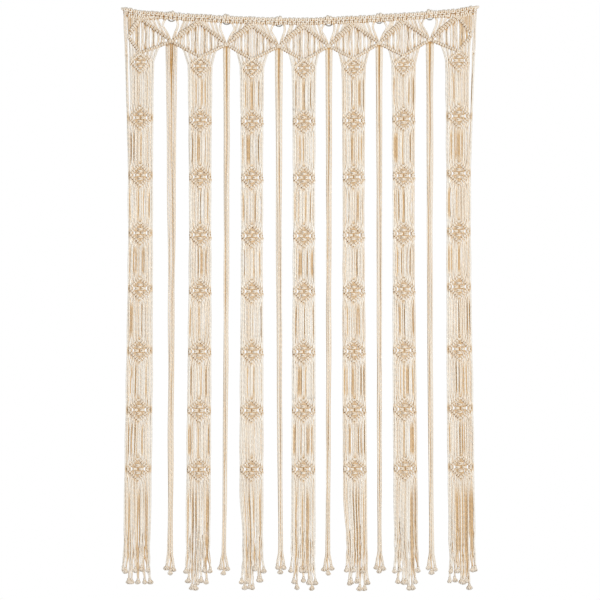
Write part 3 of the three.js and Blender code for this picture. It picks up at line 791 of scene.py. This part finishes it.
# Panels: hanging cords, lozenges of hitched bars with flat knots inside, and knotted ends
lozenge = {
    "reach": 33.0, "inset": -1.2, "firstAbove": 24.0, "firstReach": 29.5, "behind": 2.8, "barSpan": 4,
    "hitched": 12, "barReach": 3.3, "spreadFlat": 14, "spreadSpan": 22, "firstAside": 1.2, "aside": -0.6,
    # tipShade, leftFade, rightFade and shade set painted shade: on cords tucked behind the side points, and
    # inside a lozenge down to so far below its lower bars
    "tipBehind": 3.4, "tipSpan": 13, "tipShade": 0.45, "leftSwing": 1.0, "rightSwing": 4.6, "swingFall": 6.5,
    "leftFade": 14, "rightFade": 11, "shade": 0.5,
    "knotHalf": 4.9, "knotDeep": 4.4, "knotCord": 2.5, "knotApart": 4.3, "knotForward": 0.6, "knotTilt": 0.1,
    "tiltUneven": 0.06, "pullSpan": 5.2, "firstKnotDrop": 3.0,
    # the fillers: x, half height and painted shade of cords behind the knots; the middle one, darkest, stands
    # for the shade in the hole between them
    "fillDeep": 2.6, "fillUneven": 0.8, "fillers": [(-8.3, 24, 0.2), (0, 8, 1.5), (8.3, 24, 0.2)],
}
middlePull, leftPull, rightPull = (-4.8, -1.6, 1.6, 4.8), (-4.4, -1.2, 2.2, 6.4), (-6.4, -2.2, 1.2, 4.4)
flatKnots = [(0.0, 11.2, middlePull), (-9.8, 0.0, leftPull), (9.8, 0.0, rightPull), (0.0, -11.2, middlePull)]
# strengths of the notches, coloured dark as painted shade
barNotches = {   # for upper (1) and lower bars, and whether the bar falls to the right
    (1, True): [1.1, -0.55], (1, False): [0.6, -0.55], (-1, True): [1.5, 1.2], (-1, False): [0.6, -0.75]}
hanging = {
    "cord": 2.7, "lowCord": 2.4, "thinning": (-1640, -1480), "pitch": 5.4, "long": 1650, "edgeFall": 330,
    "sideGap": 2, "placeUneven": 0.5, "layer": 0.9, "deep": 0.5, "sway": 0.8, "part": 1.3, "partSpan": 6,
    "fineAbove": 36, "fineBelow": 46, "fineStep": 5.5, "coarseStep": 14.0, "bodyEnd": 1600, "endSteps": 14,
    # tan cords carry more painted shade on their flanks; sunk cords and cord starts carry painted shade
    "tanShadeShare": 0.36, "tanShadeTone": 0.1, "paleTones": (0.7, 1), "sunkShare": 0.26, "hemSunk": 1.4, "sunk": 2.6,
    "sunkShade": 0.55, "startShade": 0.7, "startShadeSpan": 7, "endWave": 1.3, "trimFall": (1450, 1600),
}
hem = {
    "gather": 40, "gatherFlat": 0.6, "gatherDeep": 5, "neckPitch": 1.9, "neckCord": 2.0, "neckSpan": 22,
    "knotHalf": 2.7, "knotGrow": 0.3, "knotCord": 2.0, "knotSteps": 9, "knotRise": 2.4, "knotApart": 1.6,
    "bell": 15.5, "bellHalf": 8.6, "bellFlat": 0.75, "bellForward": 3.0, "bellUneven": 0.2, "bellRise": 4.2,
    "lean": 2.5, "tones": (0.15, 0.6), "strands": 16, "strandCord": 1.6, "strandSides": 5, "strandTurn": 2.4,
    "endUneven": 4, "tipUneven": 1.8, "extraStart": 1560, "extraUneven": 50, "extraInside": 0.76,
    "extraShade": 0.4, "extraSteps": 14, "extraBehind": (4.2, 1.6),
}
# shade in the bell profile is painted shade under the knot
bellProfile = [(0, 0.3, 1.0, 0.3), (0.3, 0.48, 1.1, 0.1), (0.62, 0.84, 1.15, 0), (0.86, 1.0, 1.0, 0),
               (1, 0.86, 0.55, 0)]   # share of the way down, flare, strand, shade


def barHeights(row, off, reach, first):
    # middles of the bars above and below the side points, so far out from the middle
    near = np.clip(1 - np.abs(off) / reach, 0, 1)
    above = lozenge["firstAbove"] if first else row["above"] - lozenge["inset"]
    return above * near, (lozenge["inset"] - row["below"]) * near


def hangingHeights(rowZs):
    # heights of the points on each cord, closer together by a lozenge
    marks = []
    last = rowZs[0] + 6
    for z in rowZs:
        high, low = z + hanging["fineAbove"], z - hanging["fineBelow"]
        if high < last:
            marks.append(np.arange(last, high, -hanging["coarseStep"]))
            last = high
        marks.append(np.arange(last, low, -hanging["fineStep"]))
        last = low
    marks.append(np.linspace(last, -hanging["bodyEnd"], hanging["endSteps"]))
    return np.concatenate(marks)


def sharedOut(number, tips):
    # which tip each cord ends in, and its place there from the middle
    edges = np.round(np.linspace(0, number, tips + 1)).astype(int)
    tipOf = np.repeat(np.arange(tips), np.diff(edges))
    return tipOf, np.arange(number) - (edges[tipOf] + edges[tipOf + 1] - 1) / 2


def addTip(yarn, x, y, z, lean):
    # a small knot and the combed-out end below it, which stops at z
    random = yarn.random
    size = 1 + hem["bellUneven"] * random.uniform(-1, 1)
    neck = z + hem["bell"]
    tone = random.uniform(*hem["tones"])
    for turn, tilt in ((0, 0.4), (1, -0.4)):
        centre = [[x, y, neck + hem["knotRise"] - hem["knotApart"] * turn]]
        half = hem["knotHalf"] + hem["knotGrow"] * turn
        steps, cord = hem["knotSteps"], hem["knotCord"]
        addLoops(yarn, centre, [[0, 0, 1]], half, hem["knotHalf"], cord, tilt, steps, [tone])
    number = hem["strands"]
    ring = np.arange(number) * hem["strandTurn"] + random.uniform(0, 6)
    out = np.sqrt((np.arange(number) + 0.5) / number)
    across = np.stack([np.cos(ring), np.sin(ring) * hem["bellFlat"], 0 * ring], -1) * out[:, None] * size
    end = z + random.uniform(0, 1.0, number) + hem["bellRise"] * out ** 3
    shares, flares, thick, shades = zip(*bellProfile)
    paths = []
    for share, flare in zip(shares, flares):
        spot = np.array([x, y, 0]) + across * hem["bellHalf"] * flare
        spot[:, 0] += lean * share
        spot[:, 2] = neck + (end - neck) * share
        paths.append(spot)
    thick = np.array(thick) * hem["strandCord"]
    yarn.add(np.stack(paths, 1), thick, hem["strandSides"], tones=np.full(number, tone), shade=shades)


def panelStarts(index):
    # where each cord leaves the lower bars, and where the two edge cords of an outer panel start
    starts = []
    for side in (-1, 1):
        xs, crossing, atEdge = latticeColumns(index, side)
        if atEdge:
            edgeXs = side * (curtain["edgeCord"] - np.array(lattice["edgeOut"][1::-1]))
            xs = np.concatenate([xs, edgeXs])
        else:
            xs = xs[:lattice["toPanel"]]
        for x in xs:
            beyond = (x - crossing[0]) * side > 0
            z = lowerPoints[index][2] - 6 if beyond else onLine(lowerPoints[index], crossing, x)
            starts.append((x, z))
    return np.array(sorted(starts))


class Panel:
    # the cords of one panel: columns across, heights down, and what moves them aside
    def __init__(self, index):
        self.index, self.sizes, self.phase = index, panels[index], index * 1.7
        self.cords, self.knots = Yarn(100 + index), Yarn(200 + index)
        self.random = self.cords.random
        self.starts = panelStarts(index)
        self.number = len(self.starts)
        self.share = np.linspace(-1, 1, self.number)
        self.rowZs = [rowHeight(row, self.sizes["centre"]) for row in lozengeRows]
        self.layTips()
        self.layColumns()

    def middle(self, z):
        return self.sizes["centre"] + sideways(self.sizes, z)

    def half(self, z):
        return self.sizes["wide"] / 2 * pinch(z) - hanging["sideGap"]

    def depth(self, x, z):
        return drift(self.phase, x, z)

    def reach(self, z):
        return lozenge["reach"] * np.sqrt(pinch(z))

    def layTips(self):
        names = self.sizes["tips"].split()
        hemZ = -curtain["hemDrop"]
        half = self.sizes["wide"] / 2 * pinch(hemZ) * curtain["hemFlare"]
        places = (np.arange(len(names)) + 0.5) / len(names) * 2 - 1
        trim = self.sizes.get("trim", 0) * (1 - places) / 2
        shift = self.random.uniform(-hem["tipUneven"], hem["tipUneven"], len(names))
        self.tipX = self.middle(hemZ) + half * places + trim + shift
        shift = self.random.uniform(-hem["endUneven"], hem["endUneven"], len(names))
        self.tipZ = -np.array([tipDrops[name] for name in names], float) + shift
        self.tipZ = np.maximum(self.tipZ, -tipDrops["long"])
        self.tipOf, self.inTip = sharedOut(self.number, len(names))

    def layColumns(self):
        ends = self.tipZ[self.tipOf] + hem["bell"]
        self.z = heightsDown(self.starts[:, 1], hangingHeights(self.rowZs), ends)
        self.off = self.share[:, None] * self.half(self.z)
        shift = self.random.uniform(-hanging["placeUneven"], hanging["placeUneven"], (self.number, 1))
        trim = self.sizes.get("trim", 0) * smooth(-self.z, *hanging["trimFall"])
        self.x = self.middle(self.z) + self.off + shift + trim * (1 - self.share[:, None]) / 2
        layer = inTurn(self.number)[:, None] * hanging["layer"]
        self.y = layer + hanging["deep"] * waves(self.random, self.z, 200, 500)
        self.shade = np.zeros_like(self.z)

    def fanOut(self):
        # straight from the lattice to the first lozenge's bars or its side points
        z = self.rowZs[0]
        off = self.share * self.half(z)
        upper, _ = barHeights(lozengeRows[0], off, self.reach(z), True)
        starts = self.starts[:, 1:]
        fall = starts - (z + upper)[:, None]
        if self.index == 0:
            fall[:2] = hanging["edgeFall"]
        if self.index == len(panels) - 1:
            fall[-2:] = hanging["edgeFall"]
        away = fallen(starts, self.z, fall)
        pair = inTurn(self.number)[:, None] * lattice["pair"]
        self.x = self.starts[:, :1] * (1 - away) + self.x * away + pair * np.sin(math.pi * away ** 0.7)
        started = fallen(starts, self.z, lattice["startSpan"])
        self.y = lattice["behind"] * (1 - started) + self.y * started
        # painted shade where the cords leave the lattice's lower bars
        shade = hanging["startShade"] * (1 - fallen(starts, self.z, hanging["startShadeSpan"]))
        self.shade = np.maximum(self.shade, shade)

    def hangLoose(self, order):
        # sway and open slits between one lozenge and the next
        row, z = lozengeRows[order], self.rowZs[order]
        last = order + 1 == len(lozengeRows)
        nextZ = -tipDrops["long"] if last else self.rowZs[order + 1] + lozengeRows[1]["above"]
        top = z - row["below"]
        loose = np.sin(math.pi * fallen(top, self.z, top - nextZ))
        self.x += loose * hanging["sway"] * waves(self.random, self.z, 150, 420)
        # some cords sink behind the others and get painted shade
        sunkShare = hanging["sunkShare"] * (hanging["hemSunk"] if last else 1)
        sunk = (self.random.random(self.number) < sunkShare) & (np.abs(self.share) < 1)
        sunk = sunk[:, None] * smooth(loose, 0.1, 0.6)
        self.y += sunk * hanging["sunk"]
        self.shade = np.maximum(self.shade, sunk * hanging["sunkShade"])
        for slitX in slitPlaces[(order + self.index) % len(slitPlaces)]:
            away = self.off - slitX
            self.x += loose * hanging["part"] * np.sign(away) * np.exp(-np.abs(away) / hanging["partSpan"])

    def spreadOut(self, order, reach):
        # hitched cords stand a little apart at the bars, the outermost ones close up behind the side points
        z, first = self.rowZs[order], order == 0
        number = lozenge["hitched"]
        inner = (self.number - number) // 2
        cord = np.arange(self.number)
        hitched = (cord >= inner) & (cord < self.number - inner)
        places = self.share * self.half(z)
        places[hitched] = reach * (np.arange(number) * 2 + 1 - number) / number
        aside = places - self.share * self.half(z)
        aside[~hitched] = lozenge["firstAside" if first else "aside"] * np.sign(self.share[~hitched])
        # cords tucked behind a side point get painted shade
        tucked = np.exp(-((self.z - z) / lozenge["tipSpan"]) ** 4) * (~hitched & (not first))[:, None]
        self.y += lozenge["tipBehind"] * tucked
        self.shade = np.maximum(self.shade, lozenge["tipShade"] * tucked)
        away = np.clip(np.abs(self.z - z) - lozenge["spreadFlat"], 0, None)
        self.x += np.exp(-away ** 2 / lozenge["spreadSpan"] ** 2) * aside[:, None]
        return hitched, places

    def holdAtBars(self, highAt, lowAt, held, places, reach):
        # behind both bars, with painted shade inside, and off the lower right bars with a swing
        left = (places < 0)[:, None]
        behind = sum(np.exp(-((self.z - at) / lozenge["barSpan"]) ** 2) for at in (highAt, lowAt))
        behind = np.clip(behind, 0, 1) * held
        self.y = self.y * (1 - behind) + lozenge["behind"] * behind
        below = np.clip(lowAt - self.z, 0, None) / lozenge["swingFall"]
        out = np.abs(places[:, None]) / reach
        swing = np.where(left, -lozenge["leftSwing"], lozenge["rightSwing"]) * np.clip(2.2 * out - 0.35, 0, 1)
        self.x += held * swing * below * np.exp(1 - below)
        fade = np.where(left, lozenge["leftFade"], lozenge["rightFade"])
        inside = smooth(self.z, lowAt - fade, lowAt - fade / 2)
        inside = inside * (1 - smooth(self.z, highAt + 6, highAt + 11))
        self.shade = np.maximum(self.shade, held * inside * lozenge["shade"])

    def addLozenge(self, order):
        row, z, first = lozengeRows[order], self.rowZs[order], order == 0
        reach = lozenge["firstReach"] if first else self.reach(z)
        centre = self.middle(z)
        hitched, places = self.spreadOut(order, reach)
        upper, lower = barHeights(row, places, reach, first)
        self.holdAtBars((z + upper)[:, None], (z + lower)[:, None], hitched[:, None], places, reach)
        for knotX, knotZ, pulls in flatKnots:
            knotZ = z + knotZ - (lozenge["firstKnotDrop"] if first else 0)
            self.addFlatKnot(places, centre, knotX * reach / lozenge["reach"], knotZ, pulls)
        own = places[hitched]
        for up, height in ((1, upper), (-1, lower)):
            apex = height[hitched].max() if up > 0 else height[hitched].min()
            apex = apex / (1 - np.abs(own).min() / reach)
            for side in (-1, 1):
                start = (centre, 0, z + apex)
                end = (centre + side * (reach + 1), 0, z - apex / reach)
                notches = barNotches[up, side * up > 0]
                xs = centre + own[own * side > 0]
                addBar(self.knots, start, end, xs, lozenge["barReach"], 0, side * up, self.depth, notches)
        # cords behind the knots, coloured with painted shade
        for fillX, half, fillShade in lozenge["fillers"]:
            fillZ = z + np.linspace(1, -1, 3) * half
            fillXs = centre + fillX + self.random.uniform(-lozenge["fillUneven"], lozenge["fillUneven"], 3)
            path = np.stack([fillXs, self.depth(fillXs, fillZ) + lozenge["fillDeep"], fillZ], -1)
            self.knots.add([path], hanging["lowCord"], hitch["sides"], shade=fillShade, outward=-front)

    def addFlatKnot(self, places, centre, knotX, knotZ, pulls):
        # two turns round the four nearest cords, which it pulls in
        pull = np.exp(-((self.z - knotZ) / lozenge["pullSpan"]) ** 4)
        nearest = np.sort(np.argsort(np.abs(places - knotX))[:4])
        for cord, target in zip(nearest, pulls):
            self.x[cord] += pull[cord] * (centre + knotX + target - self.x[cord])
            self.y[cord] *= 1 - pull[cord]
        spotX = centre + knotX
        for part in (-1, 1):
            y = self.depth(spotX, knotZ) - lozenge["knotForward"]
            spot = [[spotX, y, knotZ - part * lozenge["knotApart"] / 2]]
            tilt = self.random.uniform(-lozenge["tiltUneven"], lozenge["tiltUneven"])
            tilt = part * lozenge["knotTilt"] + tilt
            addLoops(self.knots, spot, [[0, 0, 1]], lozenge["knotHalf"], lozenge["knotDeep"],
                     lozenge["knotCord"], tilt)

    def gatherEnds(self):
        ends = (self.tipZ[self.tipOf] + hem["bell"])[:, None]
        gather = 1 - smooth(self.z, ends, ends + hem["gather"])
        target = (self.tipX[self.tipOf] + self.inTip * hem["neckPitch"])[:, None]
        ending = smooth(-self.z, -ends - 170, -ends - 40)
        self.x += hanging["endWave"] * ending * waves(self.random, self.z, 45, 100)
        self.x = self.x * (1 - gather) + target * gather
        deep = self.random.uniform(-hem["gatherDeep"], hem["gatherDeep"], (self.number, 1))
        self.y = self.y * (1 - hem["gatherFlat"] * gather) + gather * (1 - gather) * deep
        thin = hanging["lowCord"]
        self.radius = thin + (hanging["cord"] - thin) * smooth(self.z, *hanging["thinning"])
        self.radius += (hem["neckCord"] - thin) * (1 - smooth(self.z, ends, ends + hem["neckSpan"]))

    def addExtras(self):
        # one more cord for each end, out of sight behind the others further up
        number, steps = len(self.tipX), hem["extraSteps"]
        top = self.random.uniform(-1, 1, number) * hem["extraUneven"] - hem["extraStart"]
        z = np.linspace(top, self.tipZ + hem["bell"], steps, axis=1)
        share = np.linspace(0, 1, steps)
        inside = self.middle(top) + (self.tipX - self.middle(-curtain["hemDrop"])) * hem["extraInside"]
        out = share ** 1.5
        x = inside[:, None] * (1 - out) + self.tipX[:, None] * out
        x = x + hanging["endWave"] * waves(self.random, z, 50, 100) * (1 - share ** 6)
        startY, endY = hem["extraBehind"]
        y = self.depth(x, z) + startY - (startY - endY) * share
        # painted shade on its upper part, behind the others
        shade = hem["extraShade"] * (1 - smooth(share, 0.5, 0.9))
        radius = hanging["lowCord"] * np.clip(0.25 + 4 * share, 0, 1)
        self.cords.hang(np.stack([x, y, z], -1), radius, shade, sides=hitch["sides"])

    def make(self):
        for order in range(len(lozengeRows)):
            self.hangLoose(order)
        for order in range(len(lozengeRows)):
            self.addLozenge(order)
        self.fanOut()
        self.gatherEnds()
        self.addExtras()
        self.y += self.depth(self.x, self.z)
        # some cords get a low tone: warmer, with more painted tan shade on their flanks
        tones = self.random.uniform(*hanging["paleTones"], self.number)
        tones[self.random.random(self.number) < hanging["tanShadeShare"]] = hanging["tanShadeTone"]
        self.cords.hang(np.stack([self.x, self.y, self.z], -1), self.radius, self.shade, tones)
        for x, z in zip(self.tipX, self.tipZ):
            forward = hem["bellForward"] * smooth(z, -tipDrops["mid"], -tipDrops["short"])
            lean = self.random.uniform(-hem["lean"], hem["lean"])
            addTip(self.knots, x, self.depth(x, z) - forward, z, lean)
        cordPiece = self.cords.mesh(f"panelCords{self.index + 1}", cottonCord)
        knotPiece = self.knots.mesh(f"panelKnots{self.index + 1}", cottonCord)
        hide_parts(f"panel_{self.index + 1}")


for panelIndex in range(len(panels)):
    Panel(panelIndex).make()


# Bundles: eight plain cords from each crossing, ending in three knots
bundle = {
    "tipDrops": [1699, 1713, 1701], "tipPitch": 10, "inTips": [0, 0, 0, 1, 1, 2, 2, 2],
    "cord": 2.35, "bodyStart": 130, "bodyEnd": 1560, "bodySteps": 90,
    "sway": 0.55, "deep": 0.5, "deepSpan": 70,
    "taper": [(100, 1.0), (260, 0.86), (660, 0.72), (1300, 0.62), (1560, 0.52), (1640, 0.62)],
    "slimFall": (400, 1000), "settleFall": (100, 200), "layers": [0.8, -1.2, 0.4, 2.8, 3.0, 0.2, -1.2, 0.6],
    "side": 0.95, "seamHalf": 4.0, "seamAside": 0.35, "asideFall": (330, 620), "inSeam": 0.06,
    "startCrease": 0.75, "seamShade": 0.36, "creaseFall": (160, 320),
    "creases": [0, 0, 0.15, 1, 1, 0.15, 0, 0], "startShade": 0.9, "startShadeSpan": 10, "gather": 44,
}
inHalf = np.array([0, 0.5, 1, 0, 1, 0, 0.5, 1])   # each cord's share of the way across its half


def placesInBundle(row, aside, share):
    # from -1 to 1 across: two halves with a seam between them, and two cords sunk in the seam
    side = bundle["side"]
    seamHalf = bundle["seamHalf"] * 2 / row["wide"]
    leftPlaces = -side + (aside - seamHalf + side) * inHalf[:, None]
    rightPlaces = aside + seamHalf + (side - (aside + seamHalf)) * inHalf[:, None]
    places = np.where(share[:, None] < 0, leftPlaces, rightPlaces)
    places[3:5] = aside[3:5] + np.array([[-bundle["inSeam"]], [bundle["inSeam"]]])
    return places


def hangBundle(index):
    row, phase = bundles[index], index * 2.3 + 0.9
    yarn, ends = Yarn(300 + index), Yarn(350 + index)
    random = yarn.random
    tipOf = np.array(bundle["inTips"])
    number = len(tipOf)
    tipX = row["centre"] + sideways(row, -1640.0) + bundle["tipPitch"] * np.array([-1, 0, 1])
    tipZ = -np.array(bundle["tipDrops"], float) + random.uniform(-hem["endUneven"], hem["endUneven"], 3)
    share = np.linspace(-1, 1, number)
    startZ = crossings[index + 1][2] - 2 - np.abs(share) * row["wide"] / 2 * 0.5
    endZ = tipZ[tipOf] + hem["bell"]
    body = np.linspace(-bundle["bodyStart"], -bundle["bodyEnd"], bundle["bodySteps"])
    z = heightsDown(startZ, body, endZ)
    startZ, endZ = startZ[:, None], endZ[:, None]

    half = np.interp(-z, *zip(*bundle["taper"])) * row["wide"] / 2 - 1
    half = half * (1 - row.get("slim", 0) * smooth(-z, *bundle["slimFall"]))
    settled = smooth(-z, *bundle["settleFall"])
    aside = bundle["seamAside"] * (-1 if index % 2 else 1) * smooth(-z, *bundle["asideFall"])
    aside = aside * (1 + 0.5 * np.sin(z / 170))
    place = share[:, None] * (1 - settled) + placesInBundle(row, aside, share) * settled
    wander = np.zeros_like(z)
    for _ in range(3):
        wander += waves(random, z, 220, 700, 6.28) * bundle["sway"] * 0.6
    x = row["centre"] + sideways(row, z) + place * half + settled * wander
    wave = np.sin(z / bundle["deepSpan"] + random.uniform(0, 6.28, (number, 1)))
    y = np.array(bundle["layers"])[:, None] + bundle["deep"] * wave
    started = fallen(startZ, z, lattice["startSpan"])
    y = y * started + lattice["behind"] * (1 - started)
    gather = 1 - smooth(z, endZ, endZ + bundle["gather"])
    inTip = (np.arange(number) - np.array([np.mean(np.flatnonzero(tipOf == t)) for t in tipOf]))[:, None]
    x = x * (1 - gather) + (tipX[tipOf][:, None] + inTip * hem["neckPitch"]) * gather
    y = y * (1 - hem["gatherFlat"] * gather) + drift(phase, x, z)

    # painted shade on the two cords sunk in the seam, stronger near the top, and where each cord starts
    crease = bundle["startCrease"]
    crease = crease - (crease - bundle["seamShade"]) * smooth(-z, *bundle["creaseFall"])
    crease = crease * np.array(bundle["creases"])[:, None]
    shade = bundle["startShade"] * (1 - fallen(startZ, z, bundle["startShadeSpan"]))
    thinned = 1 - smooth(z, endZ, endZ + hem["neckSpan"])
    radius = bundle["cord"] + (hem["neckCord"] - bundle["cord"]) * thinned
    yarn.hang(np.stack([x, y, z], -1), radius, np.maximum(crease, shade))
    for tipAt, tipEnd in zip(tipX, tipZ):
        lean = random.uniform(-hem["lean"], hem["lean"])
        addTip(ends, tipAt, drift(phase, tipAt, tipEnd), tipEnd, lean)
    cordPiece = yarn.mesh(f"bundleCords{index + 1}", cottonCord)
    endPiece = ends.mesh(f"bundleEnds{index + 1}", cottonCord)
    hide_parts(f"bundle_{index + 1}")


for bundleIndex in range(len(bundles)):
    hangBundle(bundleIndex)


# Rings and the cord that ties each one behind the heading
ring = {"outer": 14.0, "wire": 1.75, "drop": 10.4, "around": 72, "section": 16, "back": 8.55}
tie = {
    "cord": 2.9, "sides": 8, "tone": 0.3, "rise": 1.5, "lowShade": 0.8, "shadeDrop": 3.5, "shadeSpan": 5,
    "places": [-6.4, -2.6, 3.6, 7.0], "lifts": [0.2, 0.6, -1.6, -1.9], "leans": [-1.0, 0.4, -0.8, 0.9],
    "leanUneven": 0.5, "grow": 0.012, "growUneven": 0.02,
}
tieSection = [   # one turn seen from its side: y and z
    (-2.0, -9), (-5.8, -7.6), (-8.4, -4.4), (-8.0, 0.6), (-4.6, 4.0), (1, 4.9), (7.5, 4.2),
    (11.6, 1.6), (12.4, -2.5), (9.5, -5.2), (5.0, -7.5), (0, -11)]
steel = {
    "colour": (0.40, 0.38, 0.34, 1), "scuffed": (0.32, 0.30, 0.26, 1), "scuff": 0.3,
    "roughness": 0.22, "grain": 0.12, "grainDepth": 0.0002, "bump": 0.15,
}


def makeSteel():
    finish = Finish("ringSteel")
    place = finish.node("ShaderNodeTexCoord", {}, {}, "Object")
    grain = finish.node("ShaderNodeTexNoise", {}, {"Vector": place, "Scale": 900.0, "Detail": 2.0})
    scuff = finish.node("ShaderNodeTexNoise", {}, {"Vector": place, "Scale": 160.0, "Detail": 4.0})
    colour = finish.blend(scuff * steel["scuff"], steel["colour"], steel["scuffed"])
    bump = finish.node("ShaderNodeBump", {}, {
        "Strength": steel["bump"], "Distance": steel["grainDepth"], "Height": grain})
    roughness = grain * steel["grain"] + steel["roughness"]
    return finish.surface({"Base Color": colour, "Metallic": 1.0, "Roughness": roughness, "Normal": bump})


ringSteel = makeSteel()


def makeRing(index):
    centre = bundles[index]["centre"]
    place = np.array([centre, ring["back"], topEdge(centre) - ring["drop"]]) * metre
    bpy.ops.object.select_all(action="DESELECT")
    bpy.ops.mesh.primitive_torus_add(
        major_radius=(ring["outer"] - ring["wire"]) * metre, minor_radius=ring["wire"] * metre,
        major_segments=ring["around"], minor_segments=ring["section"],
        location=place, rotation=(math.pi / 2, 0, 0))
    piece = bpy.context.object
    piece.name = f"curtainRing{index + 1}"
    bpy.ops.object.transform_apply(location=True, rotation=True, scale=True)
    bpy.ops.object.shade_smooth()
    piece.data.materials.append(ringSteel)
    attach(piece, "root")
    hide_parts(f"ring_{index + 1}")


def tieRing(index):
    centre = bundles[index]["centre"]
    top = topEdge(centre) + tie["rise"]
    mirror = 1 if index % 2 else -1
    yarn = Yarn(400 + index)
    turns = []
    for across, lift, lean in zip(tie["places"], tie["lifts"], tie["leans"]):
        lean = lean + yarn.random.uniform(-tie["leanUneven"], tie["leanUneven"])
        grow = 1 - tie["grow"] * abs(across) + yarn.random.uniform(-tie["growUneven"], tie["growUneven"])
        turn = []
        for y, z in tieSection + tieSection[:1]:
            x = centre + mirror * (across - lean * z / 5)
            turn.append((x, y * grow, top + z * grow + (lift if z > 0 else 0)))
        turns.append(turn)
    paths = bend(turns, 3)[:, :-1]
    # painted shade on the front of the lower part of each turn
    low = np.clip((topEdge(centre) - tie["shadeDrop"] - paths[..., 2]) / tie["shadeSpan"], 0, 1)
    shade = low * (paths[..., 1] < 0) * tie["lowShade"]
    yarn.add(paths, tie["cord"], tie["sides"], closed=True, tones=[tie["tone"]] * len(paths), shade=shade)
    piece = yarn.mesh(f"ringTie{index + 1}", cottonCord)
    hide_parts(f"ring_tie_{index + 1}")
    return piece


for ringIndex in range(len(bundles)):
    makeRing(ringIndex)
    tieRing(ringIndex)

print("curtain: rings tied on")
